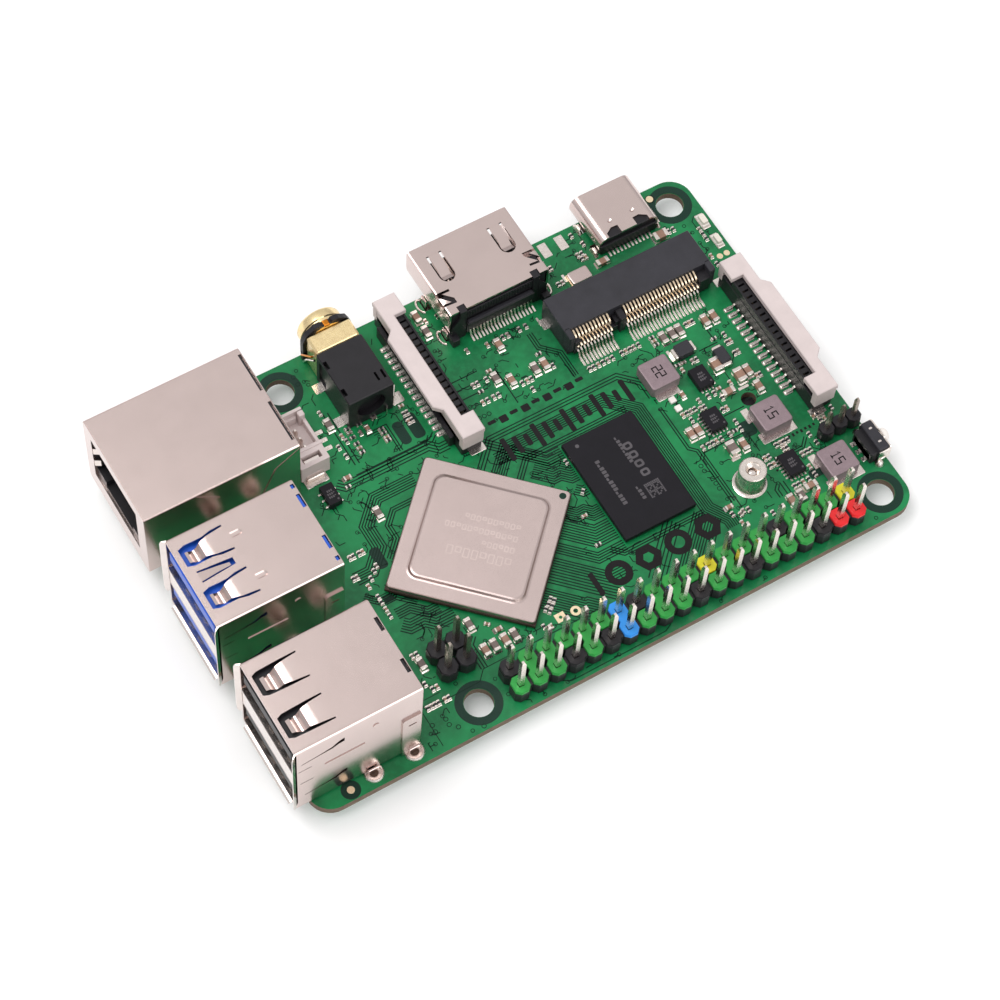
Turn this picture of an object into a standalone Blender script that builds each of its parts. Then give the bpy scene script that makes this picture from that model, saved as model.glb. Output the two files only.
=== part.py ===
"""Single board computer: a credit-card size circuit board with its sockets, headers and chips.

Everything is laid out in millimetres on the board drawing: X runs along the long edge from the
corner by the USB-C socket, Y runs across from the HDMI edge to the pin header, and Z = 0 is the
top copper. The empty "board_datum" carries that drawing to the model frame, whose origin is the
centre of the underside of the bounding box.
"""
import bpy
import bmesh
from math import cos, sin, pi, radians

MM = 0.001
GAP = 0.3                      # solder and assembly clearance under and between pieces

# board
BOARD_LENGTH = 85.0
BOARD_WIDTH = 56.0
BOARD_THICK = 1.2
BOARD_CORNER_R = 3.0
MOUNT_HOLE_R = 1.85
MOUNT_LAND_R = 2.95
MOUNT_LAND_DEPTH = 0.05
MOUNT_HOLES = [(3.5, 3.5), (3.5, 52.5), (61.5, 52.5), (61.5, 3.5)]
TAIL_END = -3.1                # lowest point of every through-hole lead

# sockets along the short edge, X from the board's far end
ETHERNET = dict(x=(66.45, 87.4), y=(2.4, 18.1), top=13.44)
USB_X = (70.2, 86.9)
USB_TOP = 15.93
USB_LIP = 0.45                 # how far the side wings flare out at the mouth
USB_LIP_X = 87.45
USB_DIVIDER_Z = (6.2, 9.3)
USB_TONGUES_Z = ((3.9, 5.9), (12.6, 14.6))
USB3_Y = (22.7, 35.6)
USB2_Y = (40.7, 53.8)
SHEET = 0.3

# sockets along the long edge
HDMI_CENTRE = 32.05
HDMI_Y = (-3.4, 7.4)
HDMI_TOP = 6.1
USBC_CENTRE = 11.35
USBC_Y = (-1.75, 5.6)
USBC_TOP = 3.2
AUDIO_X = (50.2, 56.6)
AUDIO_Y = (4.1, 12.4)
AUDIO_TOP = 6.0
AUDIO_AXIS = (53.4, 3.3)
AUDIO_BARREL_R = 3.0
AUDIO_BORE_R = 1.8
AUDIO_FRONT = -1.75

# flex cable sockets with lifting latches
FLEX_HALF_LENGTH = 11.3
FLEX_TOP = 4.9
CSI = dict(x=44.8, y=11.5, side=1)
DSI = dict(x=3.2, y=27.8, side=-1)

# M.2 socket and its standoff
M2_X = (5.4, 27.2)
M2_Y = (10.05, 16.8)
M2_TOP = 4.2
STANDOFF = (17.0, 43.4)
STANDOFF_HEIGHT = 3.6

# headers
PITCH = 2.54
GPIO_FIRST = (8.37, 51.23)
GPIO_TIP = 8.5
POE_FIRST = (60.33, 44.88)
SMALL_PITCH = 2.0
SMALL_FIRST = (1.1, 42.4)

# press button on the short edge
BUTTON_X = (0.05, 2.45)
BUTTON_Y = (44.4, 48.7)
BUTTON_TOP = 3.0
BUTTON_AXIS = (46.55, 1.75)
BUTTON_TIP = -1.2

# processor and memory
PROCESSOR = (50.7, 34.2)
PROCESSOR_SIZE = 19.0
MEMORY_X = (24.8, 35.0)
MEMORY_Y = (27.75, 43.05)

# model frame: the centre of the underside of the bounding box, in board drawing millimetres
BOX_X = (BUTTON_TIP, USB_LIP_X)
BOX_Y = (HDMI_Y[0], BOARD_WIDTH)
ORIGIN = ((BOX_X[0] + BOX_X[1]) / 2, (BOX_Y[0] + BOX_Y[1]) / 2, TAIL_END)

# through-hole legs of the metal shells: x, y, width along X, width along Y
ETHERNET_LEGS = [(76.3, 2.6, 1.4, 0.3), (76.3, 17.9, 1.4, 0.3)]
USB_LEG_X = (71.3, 76.8)
HDMI_LEGS = [(24.95, 1.2, 0.3, 1.2), (39.15, 1.2, 0.3, 1.2), (24.95, 6.4, 0.3, 1.2), (39.15, 6.4, 0.3, 1.2)]
USBC_LEGS = [(7.05, 1.0, 0.3, 0.9), (15.65, 1.0, 0.3, 0.9), (7.05, 4.6, 0.3, 0.9), (15.65, 4.6, 0.3, 0.9)]


for old in list(bpy.data.objects):
    bpy.data.objects.remove(old, do_unlink=True)

datum = bpy.data.objects.new("board_datum", None)
bpy.context.collection.objects.link(datum)
datum.location = [-value * MM for value in ORIGIN]


# ---------------------------------------------------------------- materials
def material(name, colour, roughness, metallic=0.0):
    mat = bpy.data.materials.new(name)
    mat.use_nodes = True
    shader = mat.node_tree.nodes["Principled BSDF"]
    shader.inputs["Base Color"].default_value = (*colour, 1.0)
    shader.inputs["Roughness"].default_value = roughness
    shader.inputs["Metallic"].default_value = metallic
    mat.diffuse_color = (*colour, 1.0)
    return mat


SOLDER_MASK = material("solder_mask_green", (0.03, 0.24, 0.09), 0.35)
SHELL_METAL = material("shell_nickel", (0.62, 0.57, 0.54), 0.32, 1.0)
GOLD = material("ferrule_gold", (0.83, 0.60, 0.30), 0.25, 1.0)
BLACK_PLASTIC = material("black_plastic", (0.02, 0.02, 0.022), 0.5)
BLUE_PLASTIC = material("blue_plastic", (0.01, 0.09, 0.55), 0.4)
CREAM_PLASTIC = material("cream_plastic", (0.72, 0.66, 0.58), 0.5)
WHITE_PLASTIC = material("white_plastic", (0.78, 0.77, 0.73), 0.45)
CHIP_BLACK = material("chip_black", (0.025, 0.025, 0.028), 0.6)
LAMINATE = material("laminate_brown", (0.16, 0.07, 0.03), 0.6)
LID_NICKEL = material("lid_nickel", (0.56, 0.52, 0.46), 0.38, 1.0)
FERRITE = material("ferrite_grey", (0.33, 0.28, 0.27), 0.55)
TIN = material("tin_plate", (0.75, 0.73, 0.70), 0.3, 1.0)
LED_LENS = material("led_lens", (0.75, 0.70, 0.55), 0.3)


# ---------------------------------------------------------------- shapes
def place(name, mesh, mat, origin, turn=0.0, is_cutter=False):
    """Adds an object whose origin sits at a point of the board drawing."""
    mesh.materials.append(mat)
    piece = bpy.data.objects.new(name, mesh)
    bpy.context.collection.objects.link(piece)
    piece.parent = datum
    piece.location = [value * MM for value in origin]
    piece.rotation_euler = (0.0, 0.0, turn)
    if is_cutter:
        piece.hide_render = True
        piece.display_type = "WIRE"
    return piece


def finish_mesh(name, bm, smooth_angle=None):
    bmesh.ops.recalc_face_normals(bm, faces=bm.faces)
    bmesh.ops.scale(bm, vec=(MM, MM, MM), verts=bm.verts)
    mesh = bpy.data.meshes.new(name)
    bm.to_mesh(mesh)
    bm.free()
    if smooth_angle:
        mesh.shade_smooth()
        mesh.set_sharp_from_angle(angle=radians(smooth_angle))
    return mesh


def middle(span):
    return (span[0] + span[1]) / 2


def block(name, x, y, z, mat, turn=0.0, bevel=0.0, is_cutter=False):
    """A box between two X, two Y and two Z values, with its origin at its middle."""
    bm = bmesh.new()
    bmesh.ops.create_cube(bm, size=1.0)
    bmesh.ops.scale(bm, vec=(x[1] - x[0], y[1] - y[0], z[1] - z[0]), verts=bm.verts)
    if bevel:
        bmesh.ops.bevel(bm, geom=bm.edges, offset=bevel, segments=1, affect="EDGES")
    origin = (middle(x), middle(y), middle(z))
    return place(name, finish_mesh(name, bm), mat, origin, turn, is_cutter)


def loft(name, loops, mat, origin=(0, 0, 0), closed_ring=False, smooth_angle=None, is_cutter=False):
    """Joins matching loops of points into a skin, then caps its ends or closes it on itself."""
    bm = bmesh.new()
    rows = [[bm.verts.new([p - o for p, o in zip(point, origin)]) for point in loop] for loop in loops]
    pairs = list(zip(rows, rows[1:]))
    if closed_ring:
        pairs.append((rows[-1], rows[0]))
    for first, second in pairs:
        count = len(first)
        for i in range(count):
            j = (i + 1) % count
            bm.faces.new((first[i], first[j], second[j], second[i]))
    if not closed_ring:
        bm.faces.new(rows[0])
        bm.faces.new(rows[-1])
    return place(name, finish_mesh(name, bm, smooth_angle), mat, origin, 0.0, is_cutter)


def prism(name, outline, z, mat, origin=(0, 0, 0), is_cutter=False):
    """A plan outline extruded between two heights."""
    loops = [[(x, y, height) for x, y in outline] for height in z]
    return loft(name, loops, mat, origin, is_cutter=is_cutter)


def profile_along_y(name, outline, y, mat, origin=(0, 0, 0)):
    """An X-Z outline extruded along Y."""
    return loft(name, [[(x, station, z) for x, z in outline] for station in y], mat, origin)


def circle(centre, radius, count):
    steps = [2 * pi * i / count for i in range(count)]
    return [(centre[0] + radius * cos(a), centre[1] + radius * sin(a)) for a in steps]


def rounded_rectangle(x, y, radius, steps):
    """Corner points of a rounded rectangle, anticlockwise."""
    corners = [(x[1], y[1], 0), (x[0], y[1], 90), (x[0], y[0], 180), (x[1], y[0], 270)]
    points = []
    for cx, cy, start in corners:
        centre_x = cx - radius if start in (0, 270) else cx + radius
        centre_y = cy - radius if start in (0, 90) else cy + radius
        for i in range(steps + 1):
            angle = radians(start + 90 * i / steps)
            points.append((centre_x + radius * cos(angle), centre_y + radius * sin(angle)))
    return points


def rectangle(x, y):
    return [(x[0], y[0]), (x[1], y[0]), (x[1], y[1]), (x[0], y[1])]


def grow(span, by):
    return (span[0] - by, span[1] + by)


def modify(piece, tool, operation):
    modifier = piece.modifiers.new(operation.title(), "BOOLEAN")
    modifier.object = tool
    modifier.operation = operation
    modifier.solver = "EXACT"


def cut(piece, tool):
    modify(piece, tool, "DIFFERENCE")


def join(piece, tool):
    modify(piece, tool, "UNION")


def cutter_block(name, x, y, z):
    return block(name, x, y, z, TIN, is_cutter=True)


def posts(name, outlines, z):
    """Many separate upright prisms in one tool object."""
    bm = bmesh.new()
    for outline in outlines:
        rows = [[bm.verts.new((x, y, height)) for x, y in outline] for height in z]
        count = len(outline)
        for i in range(count):
            j = (i + 1) % count
            bm.faces.new((rows[0][i], rows[0][j], rows[1][j], rows[1][i]))
        bm.faces.new(rows[0])
        bm.faces.new(rows[1])
    return place(name, finish_mesh(name, bm), TIN, (0, 0, 0), is_cutter=True)


def leg_outlines(legs, clearance=0.0):
    """Plan outlines of the legs, or of the slots that they pass through."""
    return [rectangle(grow((x - w / 2, x + w / 2), clearance), grow((y - d / 2, y + d / 2), clearance))
            for x, y, w, d in legs]


def usb_legs(y):
    return [(x, side, 1.6, SHEET) for x in USB_LEG_X for side in (y[0] + SHEET / 2, y[1] - SHEET / 2)]


def pin_grid(first, pitch, columns, rows):
    return [(first[0] + pitch * i, first[1] + pitch * j) for i in range(columns) for j in range(rows)]


GPIO_PINS = pin_grid(GPIO_FIRST, PITCH, 20, 2)
POE_PINS = pin_grid(POE_FIRST, PITCH, 2, 2)
SMALL_PINS = pin_grid(SMALL_FIRST, SMALL_PITCH, 3, 1)


# ---------------------------------------------------------------- board
def build_board():
    plan = rounded_rectangle((0, BOARD_LENGTH), (0, BOARD_WIDTH), BOARD_CORNER_R, 8)
    board = prism("circuit_board", plan, (-BOARD_THICK, 0), SOLDER_MASK, (42.5, 28.0, 0))
    lands = [circle(centre, MOUNT_LAND_R, 32) for centre in MOUNT_HOLES]
    cut(board, posts("land_recess_top", lands, (-MOUNT_LAND_DEPTH, 1.0)))
    cut(board, posts("land_recess_bottom", lands, (-BOARD_THICK - 1.0, MOUNT_LAND_DEPTH - BOARD_THICK)))
    holes = [circle(centre, MOUNT_HOLE_R, 32) for centre in MOUNT_HOLES]
    holes.append(circle((10.5, 33.2), 1.0, 16))
    holes += [circle(pin, 0.7, 8) for pin in GPIO_PINS + POE_PINS + SMALL_PINS]
    legs = ETHERNET_LEGS + usb_legs(USB3_Y) + usb_legs(USB2_Y) + HDMI_LEGS + USBC_LEGS
    holes += leg_outlines(legs, GAP)
    cut(board, posts("board_drill", holes, (-BOARD_THICK - 1.0, 1.0)))


# ---------------------------------------------------------------- Ethernet socket
def build_ethernet():
    x, y, top = ETHERNET["x"], ETHERNET["y"], ETHERNET["top"]
    mouth_y = (4.3, 15.9)
    mouth_z = (3.1, 11.6)

    def ring(at, width, height):
        return [(at, py, pz) for py, pz in rectangle(width, height)]

    inner_y, inner_z = grow(y, -SHEET), (GAP + SHEET, top - SHEET)
    loops = [ring(x[0], y, (GAP, top)), ring(x[1], y, (GAP, top)), ring(x[1], mouth_y, mouth_z),
             ring(x[1] - SHEET, mouth_y, mouth_z), ring(x[1] - SHEET, inner_y, inner_z),
             ring(x[0] + SHEET, inner_y, inner_z)]
    shield = loft("ethernet_shield", loops, SHELL_METAL, (x[0], middle(y), GAP))
    join(shield, posts("ethernet_legs", leg_outlines(ETHERNET_LEGS), (TAIL_END, GAP + 1.0)))

    body_x = (x[0] + SHEET + GAP, x[1] - SHEET - GAP)
    housing = block("ethernet_housing", body_x, grow(inner_y, -GAP), grow(inner_z, -GAP), BLACK_PLASTIC)
    cut(housing, cutter_block("plug_cavity", (73.0, 90.0), mouth_y, (4.6, 11.5)))
    cut(housing, cutter_block("plug_latch_notch", (73.0, 90.0), (7.0, 13.2), (3.2, 5.0)))
    cut(housing, cutter_block("plug_latch_slot", (73.0, 90.0), (8.5, 11.7), (2.0, 4.0)))
    block("ethernet_contact_block", (73.3, 78.0), (5.3, 14.9), (10.3, 11.2), BLACK_PLASTIC)


# ---------------------------------------------------------------- stacked USB sockets
def build_usb(prefix, y, plastic):
    bottom = GAP

    def ring(at, by, inset=0.0):
        spans = rectangle(grow(y, by), (bottom + inset, USB_TOP - inset))
        return [(at, py, pz) for py, pz in spans]

    loops = [ring(USB_X[0], 0), ring(USB_X[1], 0), ring(USB_LIP_X, USB_LIP),
             ring(USB_LIP_X, USB_LIP - SHEET, SHEET), ring(USB_X[1], -SHEET, SHEET),
             ring(USB_X[0] + SHEET, -SHEET, SHEET)]
    shield = loft(prefix + "_shield", loops, SHELL_METAL, (USB_X[0], middle(y), bottom))
    join(shield, posts(prefix + "_legs", leg_outlines(usb_legs(y)), (TAIL_END, bottom + 1.0)))

    back, front = USB_X[0] + SHEET + GAP, USB_X[1] - GAP
    pocket = back + 3.7
    low, high = bottom + SHEET + GAP, USB_TOP - SHEET - GAP
    shelf, roof = USB_DIVIDER_Z
    outline = [(back, low), (pocket, low), (pocket, shelf), (front, shelf), (front, roof), (pocket, roof),
               (pocket, high), (back, high)]
    profile_along_y(prefix + "_housing", outline, grow(y, -SHEET - GAP), plastic, (back, middle(y), low))
    tongue_y = (middle(y) - 5.55, middle(y) + 5.55)
    for side, z in zip(("lower", "upper"), USB_TONGUES_Z):
        block("%s_tongue_%s" % (prefix, side), (pocket + GAP, front), tongue_y, z, plastic)


# ---------------------------------------------------------------- HDMI socket
def hdmi_outline(inset):
    half_top, half_bottom = 7.3 - inset, 5.2 - inset * 0.7
    top, knee, low = HDMI_TOP - inset, 2.5 + inset * 0.3, GAP + 0.2 + inset
    edge = 0.5
    right = [(half_top - edge, top), (half_top, top - edge), (half_top, knee), (half_bottom, low)]
    left = [(-x, z) for x, z in reversed(right)]
    return [(HDMI_CENTRE + x, z) for x, z in right + left]


def build_hdmi():
    front, back = HDMI_Y
    loops = [[(x, at, z) for x, z in hdmi_outline(inset)]
             for at, inset in ((back, 0), (front, 0), (front, SHEET), (back, SHEET))]
    shield = loft("hdmi_shield", loops, SHELL_METAL, (HDMI_CENTRE, back, GAP), closed_ring=True)
    join(shield, posts("hdmi_legs", leg_outlines(HDMI_LEGS), (TAIL_END, 3.4)))
    insulator = profile_along_y("hdmi_insulator", hdmi_outline(SHEET + GAP), (2.0, back), BLACK_PLASTIC,
                                (HDMI_CENTRE, back, GAP))
    tongue = cutter_block("hdmi_tongue", (HDMI_CENTRE - 5.9, HDMI_CENTRE + 5.9), (-2.2, 3.0), (3.0, 4.3))
    join(insulator, tongue)


# ---------------------------------------------------------------- USB-C socket
def build_usbc():
    front, back = USBC_Y

    def ring(at, inset):
        spans = rounded_rectangle(grow((USBC_CENTRE - 4.47, USBC_CENTRE + 4.47), -inset),
                                  (GAP + inset, USBC_TOP - inset), 1.25 - inset, 4)
        return [(px, at, pz) for px, pz in spans]

    loops = [ring(back, 0), ring(front, 0), ring(front, 0.25), ring(back, 0.25)]
    shield = loft("usbc_shield", loops, SHELL_METAL, (USBC_CENTRE, back, GAP), closed_ring=True, smooth_angle=40)
    join(shield, posts("usbc_legs", leg_outlines(USBC_LEGS), (TAIL_END, 1.8)))
    insulator = loft("usbc_insulator", [ring(back, 0.55), ring(2.6, 0.55)], BLACK_PLASTIC, (USBC_CENTRE, back, GAP))
    tongue = cutter_block("usbc_tongue", (USBC_CENTRE - 3.3, USBC_CENTRE + 3.3), (-1.2, 3.6), (1.4, 2.1))
    join(insulator, tongue)


# ---------------------------------------------------------------- audio socket
def audio_ring(radius, at, count=32):
    return [(x, at, z) for x, z in circle(AUDIO_AXIS, radius, count)]


def build_audio():
    bore = loft("audio_bore", [audio_ring(AUDIO_BORE_R, AUDIO_FRONT - 1), audio_ring(AUDIO_BORE_R, 10.5)],
                GOLD, is_cutter=True)
    body = block("audio_jack_body", AUDIO_X, AUDIO_Y, (GAP, AUDIO_TOP), BLACK_PLASTIC)
    cut(body, bore)
    ferrule = block("audio_jack_ferrule", (AUDIO_X[0] + 0.2, AUDIO_X[1] - 0.2), (1.5, AUDIO_Y[0] - GAP),
                    (GAP, AUDIO_TOP - 0.1), GOLD)
    barrel = loft("audio_barrel", [audio_ring(AUDIO_BARREL_R, AUDIO_FRONT), audio_ring(AUDIO_BARREL_R, 2.5)],
                  GOLD, is_cutter=True)
    join(ferrule, barrel)
    cut(ferrule, bore)
    clip = block("audio_jack_clip", (AUDIO_X[0] - 0.3, AUDIO_X[1] + 0.3), (0.35, 1.2),
                 (GAP, AUDIO_AXIS[1] + 3.45), BLACK_PLASTIC)
    opening = loft("clip_opening", [audio_ring(AUDIO_BARREL_R + GAP - 0.02, 0.0),
                                    audio_ring(AUDIO_BARREL_R + GAP - 0.02, 2.0)], GOLD, is_cutter=True)
    cut(clip, opening)
    cut(clip, cutter_block("clip_foot", (AUDIO_AXIS[0] - 2.2, AUDIO_AXIS[0] + 2.2), (0.0, 2.0), (-1.0, 2.0)))


# ---------------------------------------------------------------- flex cable sockets
def build_flex_socket(prefix, x, y, side):
    """The housing stays on the board and the latch lifts straight up to free the cable."""
    ends = (y - FLEX_HALF_LENGTH, y + FLEX_HALF_LENGTH)

    def across(first, last):
        return tuple(sorted((x + side * first, x + side * last)))

    housing = block(prefix + "_socket_housing", across(-1.45, 1.45), grow(ends, -0.45), (GAP, 2.9), BLACK_PLASTIC)
    comb = cutter_block(prefix + "_comb", across(-1.45, -0.15), (ends[0] + 3.45, ends[1] - 3.45), (2.0, 4.2))
    join(housing, comb)
    groove = cutter_block(prefix + "_groove", across(0.15, 1.15), grow(ends, -1.0), (1.4, 5.0))
    cut(housing, groove)

    bulge = [(1.6, 5.1), (2.6, 4.0), (2.6, -4.0), (1.6, -5.1)]
    plan = [(-1.6, -FLEX_HALF_LENGTH), (1.6, -FLEX_HALF_LENGTH)]
    plan += [(1.6, -6.6), (2.6, -5.4), (2.6, 5.4), (1.6, 6.6)]
    plan += [(1.6, FLEX_HALF_LENGTH), (-1.6, FLEX_HALF_LENGTH), (-1.6, FLEX_HALF_LENGTH - 3.1)]
    plan += [(0.15, FLEX_HALF_LENGTH - 3.1), (0.15, 3.1 - FLEX_HALF_LENGTH), (-1.6, 3.1 - FLEX_HALF_LENGTH)]
    outline = [(x + side * px, y + side * py) for px, py in plan]
    latch = prism(prefix + "_latch", outline, (3.2, FLEX_TOP), CREAM_PLASTIC, (x, y, 3.2))
    blade = cutter_block(prefix + "_latch_blade", across(0.45, 0.85), grow(ends, -1.4), (1.75, 4.0))
    join(latch, blade)


# ---------------------------------------------------------------- M.2 socket and standoff
def build_m2():
    inner = (M2_X[0] + 0.7, M2_X[1] - 0.7)
    housing = block("m2_socket_housing", M2_X, M2_Y, (GAP, M2_TOP), BLACK_PLASTIC)
    cut(housing, cutter_block("card_slot", inner, (11.3, 18.0), (1.3, 3.3)))
    cut(housing, cutter_block("card_mouth", inner, (15.4, 18.0), (1.3, 6.0)))
    key = cutter_block("card_key", (18.95, 19.7), (12.5, M2_Y[1]), (1.0, 2.7))
    join(housing, key)

    def turned(radius, z):
        return [(px, py, z) for px, py in circle(STANDOFF, radius, 24)]

    z0 = GAP
    outer = [turned(2.2, z0), turned(2.2, z0 + 0.5), turned(1.75, z0 + 0.5), turned(1.75, STANDOFF_HEIGHT)]
    bore = [turned(1.05, STANDOFF_HEIGHT), turned(1.05, z0)]
    loft("m2_standoff", outer + bore, TIN, (*STANDOFF, z0), closed_ring=True, smooth_angle=40)


# ---------------------------------------------------------------- pin headers
def build_header(name, pins, pitch, pin_width, chamfer, z, tip):
    """One moulded strip with a chamfered cell around each pin, and square pins through it."""
    xs = sorted({px for px, py in pins})
    y0, y1 = min(py for px, py in pins) - pitch / 2, max(py for px, py in pins) + pitch / 2
    half = pitch / 2
    plan = []
    for cell in xs:
        plan += [(cell - half, y0 + chamfer), (cell - half + chamfer, y0), (cell + half - chamfer, y0)]
    plan.append((xs[-1] + half, y0 + chamfer))
    for cell in reversed(xs):
        plan += [(cell + half, y1 - chamfer), (cell + half - chamfer, y1), (cell - half + chamfer, y1)]
    plan.append((xs[0] - half, y1 - chamfer))
    strip = prism(name, plan, z, BLACK_PLASTIC, (middle((xs[0], xs[-1])), middle((y0, y1)), z[0]))
    width = pin_width / 2
    squares = [rectangle((px - width, px + width), (py - width, py + width)) for px, py in pins]
    join(strip, posts(name + "_pins", squares, (TAIL_END, tip)))


def build_fan_header():
    x, y, top = (61.2, 65.6), (8.2, 16.2), 3.6
    shell = block("fan_header", x, y, (GAP, top), CREAM_PLASTIC)
    cut(shell, cutter_block("fan_well", (x[0] + 0.6, x[1] - 0.6), (y[0] + 0.6, y[1] - 1.6), (1.3, 5.0)))
    squares = [rectangle((63.15, 63.65), (py - 0.25, py + 0.25)) for py in (10.95, 12.2, 13.45)]
    join(shell, posts("fan_pins", squares, (0.8, 3.3)))


# ---------------------------------------------------------------- press button
def build_button():
    y_axis, z_axis = BUTTON_AXIS

    def disc(radius, at):
        return [(at, py, pz) for py, pz in circle((y_axis, z_axis), radius, 24)]

    recess = loft("button_recess", [disc(1.25, -2.0), disc(1.25, 0.95)], TIN, is_cutter=True)
    body = block("power_button_body", BUTTON_X, BUTTON_Y, (GAP, BUTTON_TOP), BLACK_PLASTIC)
    cut(body, recess)
    face = BUTTON_X[0] - GAP
    arm_y = grow(BUTTON_Y, GAP)
    outer_y = grow(arm_y, 0.2)
    plan = [(face - 0.2, outer_y[0]), (2.0, outer_y[0]), (2.0, arm_y[0]), (face, arm_y[0]),
            (face, arm_y[1]), (2.0, arm_y[1]), (2.0, outer_y[1]), (face - 0.2, outer_y[1])]
    bracket = prism("power_button_bracket", plan, (GAP, BUTTON_TOP), TIN, (face, y_axis, GAP))
    cut(bracket, recess)
    loft("power_button_plunger", [disc(0.92, BUTTON_TIP), disc(0.92, 0.3)], WHITE_PLASTIC,
         (BUTTON_TIP, y_axis, z_axis), smooth_angle=40)


# ---------------------------------------------------------------- processor and memory
def build_processor():
    half = PROCESSOR_SIZE / 2
    cx, cy = PROCESSOR
    block("processor_substrate", (cx - half, cx + half), (cy - half, cy + half), (GAP, 0.85), LAMINATE,
          turn=radians(45))

    def ring(size, radius, z):
        spans = rounded_rectangle((-size / 2, size / 2), (-size / 2, size / 2), radius, 3)
        turned = [((px - py) * cos(pi / 4), (px + py) * cos(pi / 4)) for px, py in spans]
        return [(cx + px, cy + py, z) for px, py in turned]

    loops = [ring(18.5, 0.5, 1.15), ring(18.5, 0.5, 1.5), ring(14.8, 1.6, 1.5), ring(14.2, 1.4, 1.95)]
    loft("processor_lid", loops, LID_NICKEL, (cx, cy, 1.15))
    block("memory_chip", MEMORY_X, MEMORY_Y, (GAP, 1.1), CHIP_BLACK)


def build_small_parts():
    inductors = [(6.25, 46.65), (9.97, 37.1), (19.1, 25.2)]
    for number, (x, y) in enumerate(inductors, 1):
        block("power_inductor_%d" % number, (x - 2.08, x + 2.08), (y - 2.08, y + 2.08), (GAP, 2.1), FERRITE,
              bevel=0.25)
    chips = [((10.0, 12.4), (42.3, 45.5)), ((15.1, 17.5), (32.35, 35.35)), ((13.25, 15.45), (26.4, 29.4))]
    for number, (x, y) in enumerate(chips, 1):
        block("regulator_chip_%d" % number, x, y, (GAP, 1.05), CHIP_BLACK)
    block("fan_driver_chip", (62.45, 64.2), (18.3, 21.2), (GAP, 1.2), CHIP_BLACK)
    diodes = [((12.7, 15.6), (22.5, 24.3)), ((9.6, 11.1), (25.1, 28.0))]
    for number, (x, y) in enumerate(diodes, 1):
        block("diode_%d" % number, x, y, (GAP, 1.3), CHIP_BLACK, bevel=0.15)
    block("crystal_can", (18.3, 21.3), (6.4, 8.4), (GAP, 0.95), LID_NICKEL, bevel=0.1)
    leds = [((0.6, 1.6), (10.1, 12.4)), ((0.6, 1.7), (6.6, 9.0))]
    for number, (x, y) in enumerate(leds, 1):
        block("status_led_%d" % number, x, y, (GAP, 0.85), LED_LENS)


# ---------------------------------------------------------------- underside
def build_underside():
    under = -BOARD_THICK - GAP
    x, y = (1.4, 15.4), (21.0, 35.2)
    block("microsd_socket_body", x, y, (under - 0.35, under), BLACK_PLASTIC)
    top = under - 0.35 - GAP

    def ring(at, inset):
        return [(at, py, pz) for py, pz in rectangle(grow(y, -inset), (TAIL_END + inset, top - inset))]

    loops = [ring(x[1], 0), ring(x[0], 0), ring(x[0], 0.15), ring(x[1] - 0.15, 0.15)]
    loft("microsd_socket_shield", loops, SHELL_METAL, (x[1], middle(y), top))
    block("flash_chip", (38.0, 43.2), (37.0, 42.3), (under - 1.2, under), CHIP_BLACK)


build_board()
build_ethernet()
build_usb("usb3", USB3_Y, BLUE_PLASTIC)
build_usb("usb2", USB2_Y, BLACK_PLASTIC)
build_hdmi()
build_usbc()
build_audio()
build_flex_socket("csi", **CSI)
build_flex_socket("dsi", **DSI)
build_m2()
build_header("gpio_header", GPIO_PINS, PITCH, 0.64, 0.6, (GAP, 2.6), GPIO_TIP)
build_header("poe_header", POE_PINS, PITCH, 0.64, 0.6, (GAP, 2.6), GPIO_TIP)
build_header("three_pin_header", SMALL_PINS, SMALL_PITCH, 0.5, 0.45, (GAP, 2.3), 6.0)
build_fan_header()
build_button()
build_processor()
build_small_parts()
build_underside()
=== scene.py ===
import math
import random

import bmesh
import bpy
from mathutils import Matrix, Vector
from mathutils.geometry import tessellate_polygon


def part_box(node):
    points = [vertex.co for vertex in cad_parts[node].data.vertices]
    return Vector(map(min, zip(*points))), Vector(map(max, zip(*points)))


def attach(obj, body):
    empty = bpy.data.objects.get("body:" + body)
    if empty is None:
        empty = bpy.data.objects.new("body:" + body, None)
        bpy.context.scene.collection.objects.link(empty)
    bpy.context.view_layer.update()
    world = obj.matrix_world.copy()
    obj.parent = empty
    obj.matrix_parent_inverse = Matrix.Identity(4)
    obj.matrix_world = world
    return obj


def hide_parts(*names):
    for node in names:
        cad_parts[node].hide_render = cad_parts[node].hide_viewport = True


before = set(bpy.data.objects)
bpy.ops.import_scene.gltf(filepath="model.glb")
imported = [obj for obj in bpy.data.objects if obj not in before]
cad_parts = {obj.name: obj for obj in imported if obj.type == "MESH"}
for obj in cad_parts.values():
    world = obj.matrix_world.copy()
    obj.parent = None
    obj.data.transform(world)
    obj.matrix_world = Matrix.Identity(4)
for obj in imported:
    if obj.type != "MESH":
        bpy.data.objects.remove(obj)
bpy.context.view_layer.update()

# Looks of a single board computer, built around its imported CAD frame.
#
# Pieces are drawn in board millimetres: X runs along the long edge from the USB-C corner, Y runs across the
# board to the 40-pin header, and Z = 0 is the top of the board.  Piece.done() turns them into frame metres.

MM = 0.001
board_low, board_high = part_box("circuit_board")
BOARD_TO_FRAME = Matrix.Translation((board_low.x, board_low.y, board_high.z)) @ Matrix.Scale(MM, 4)
FRAME_TO_BOARD = BOARD_TO_FRAME.inverted()
BOARD_SIZE = (board_high - board_low) / MM
BOARD_UNDERSIDE = -BOARD_SIZE.z
MOUNT_HOLES = [(3.5, 3.5), (3.5, 52.5), (61.5, 52.5), (61.5, 3.5)]
PITCH = 2.54


def span(node):
    """The node's extent along X, Y and Z, in board millimetres."""
    low, high = (FRAME_TO_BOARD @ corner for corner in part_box(node))
    return tuple(zip(low, high))


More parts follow.
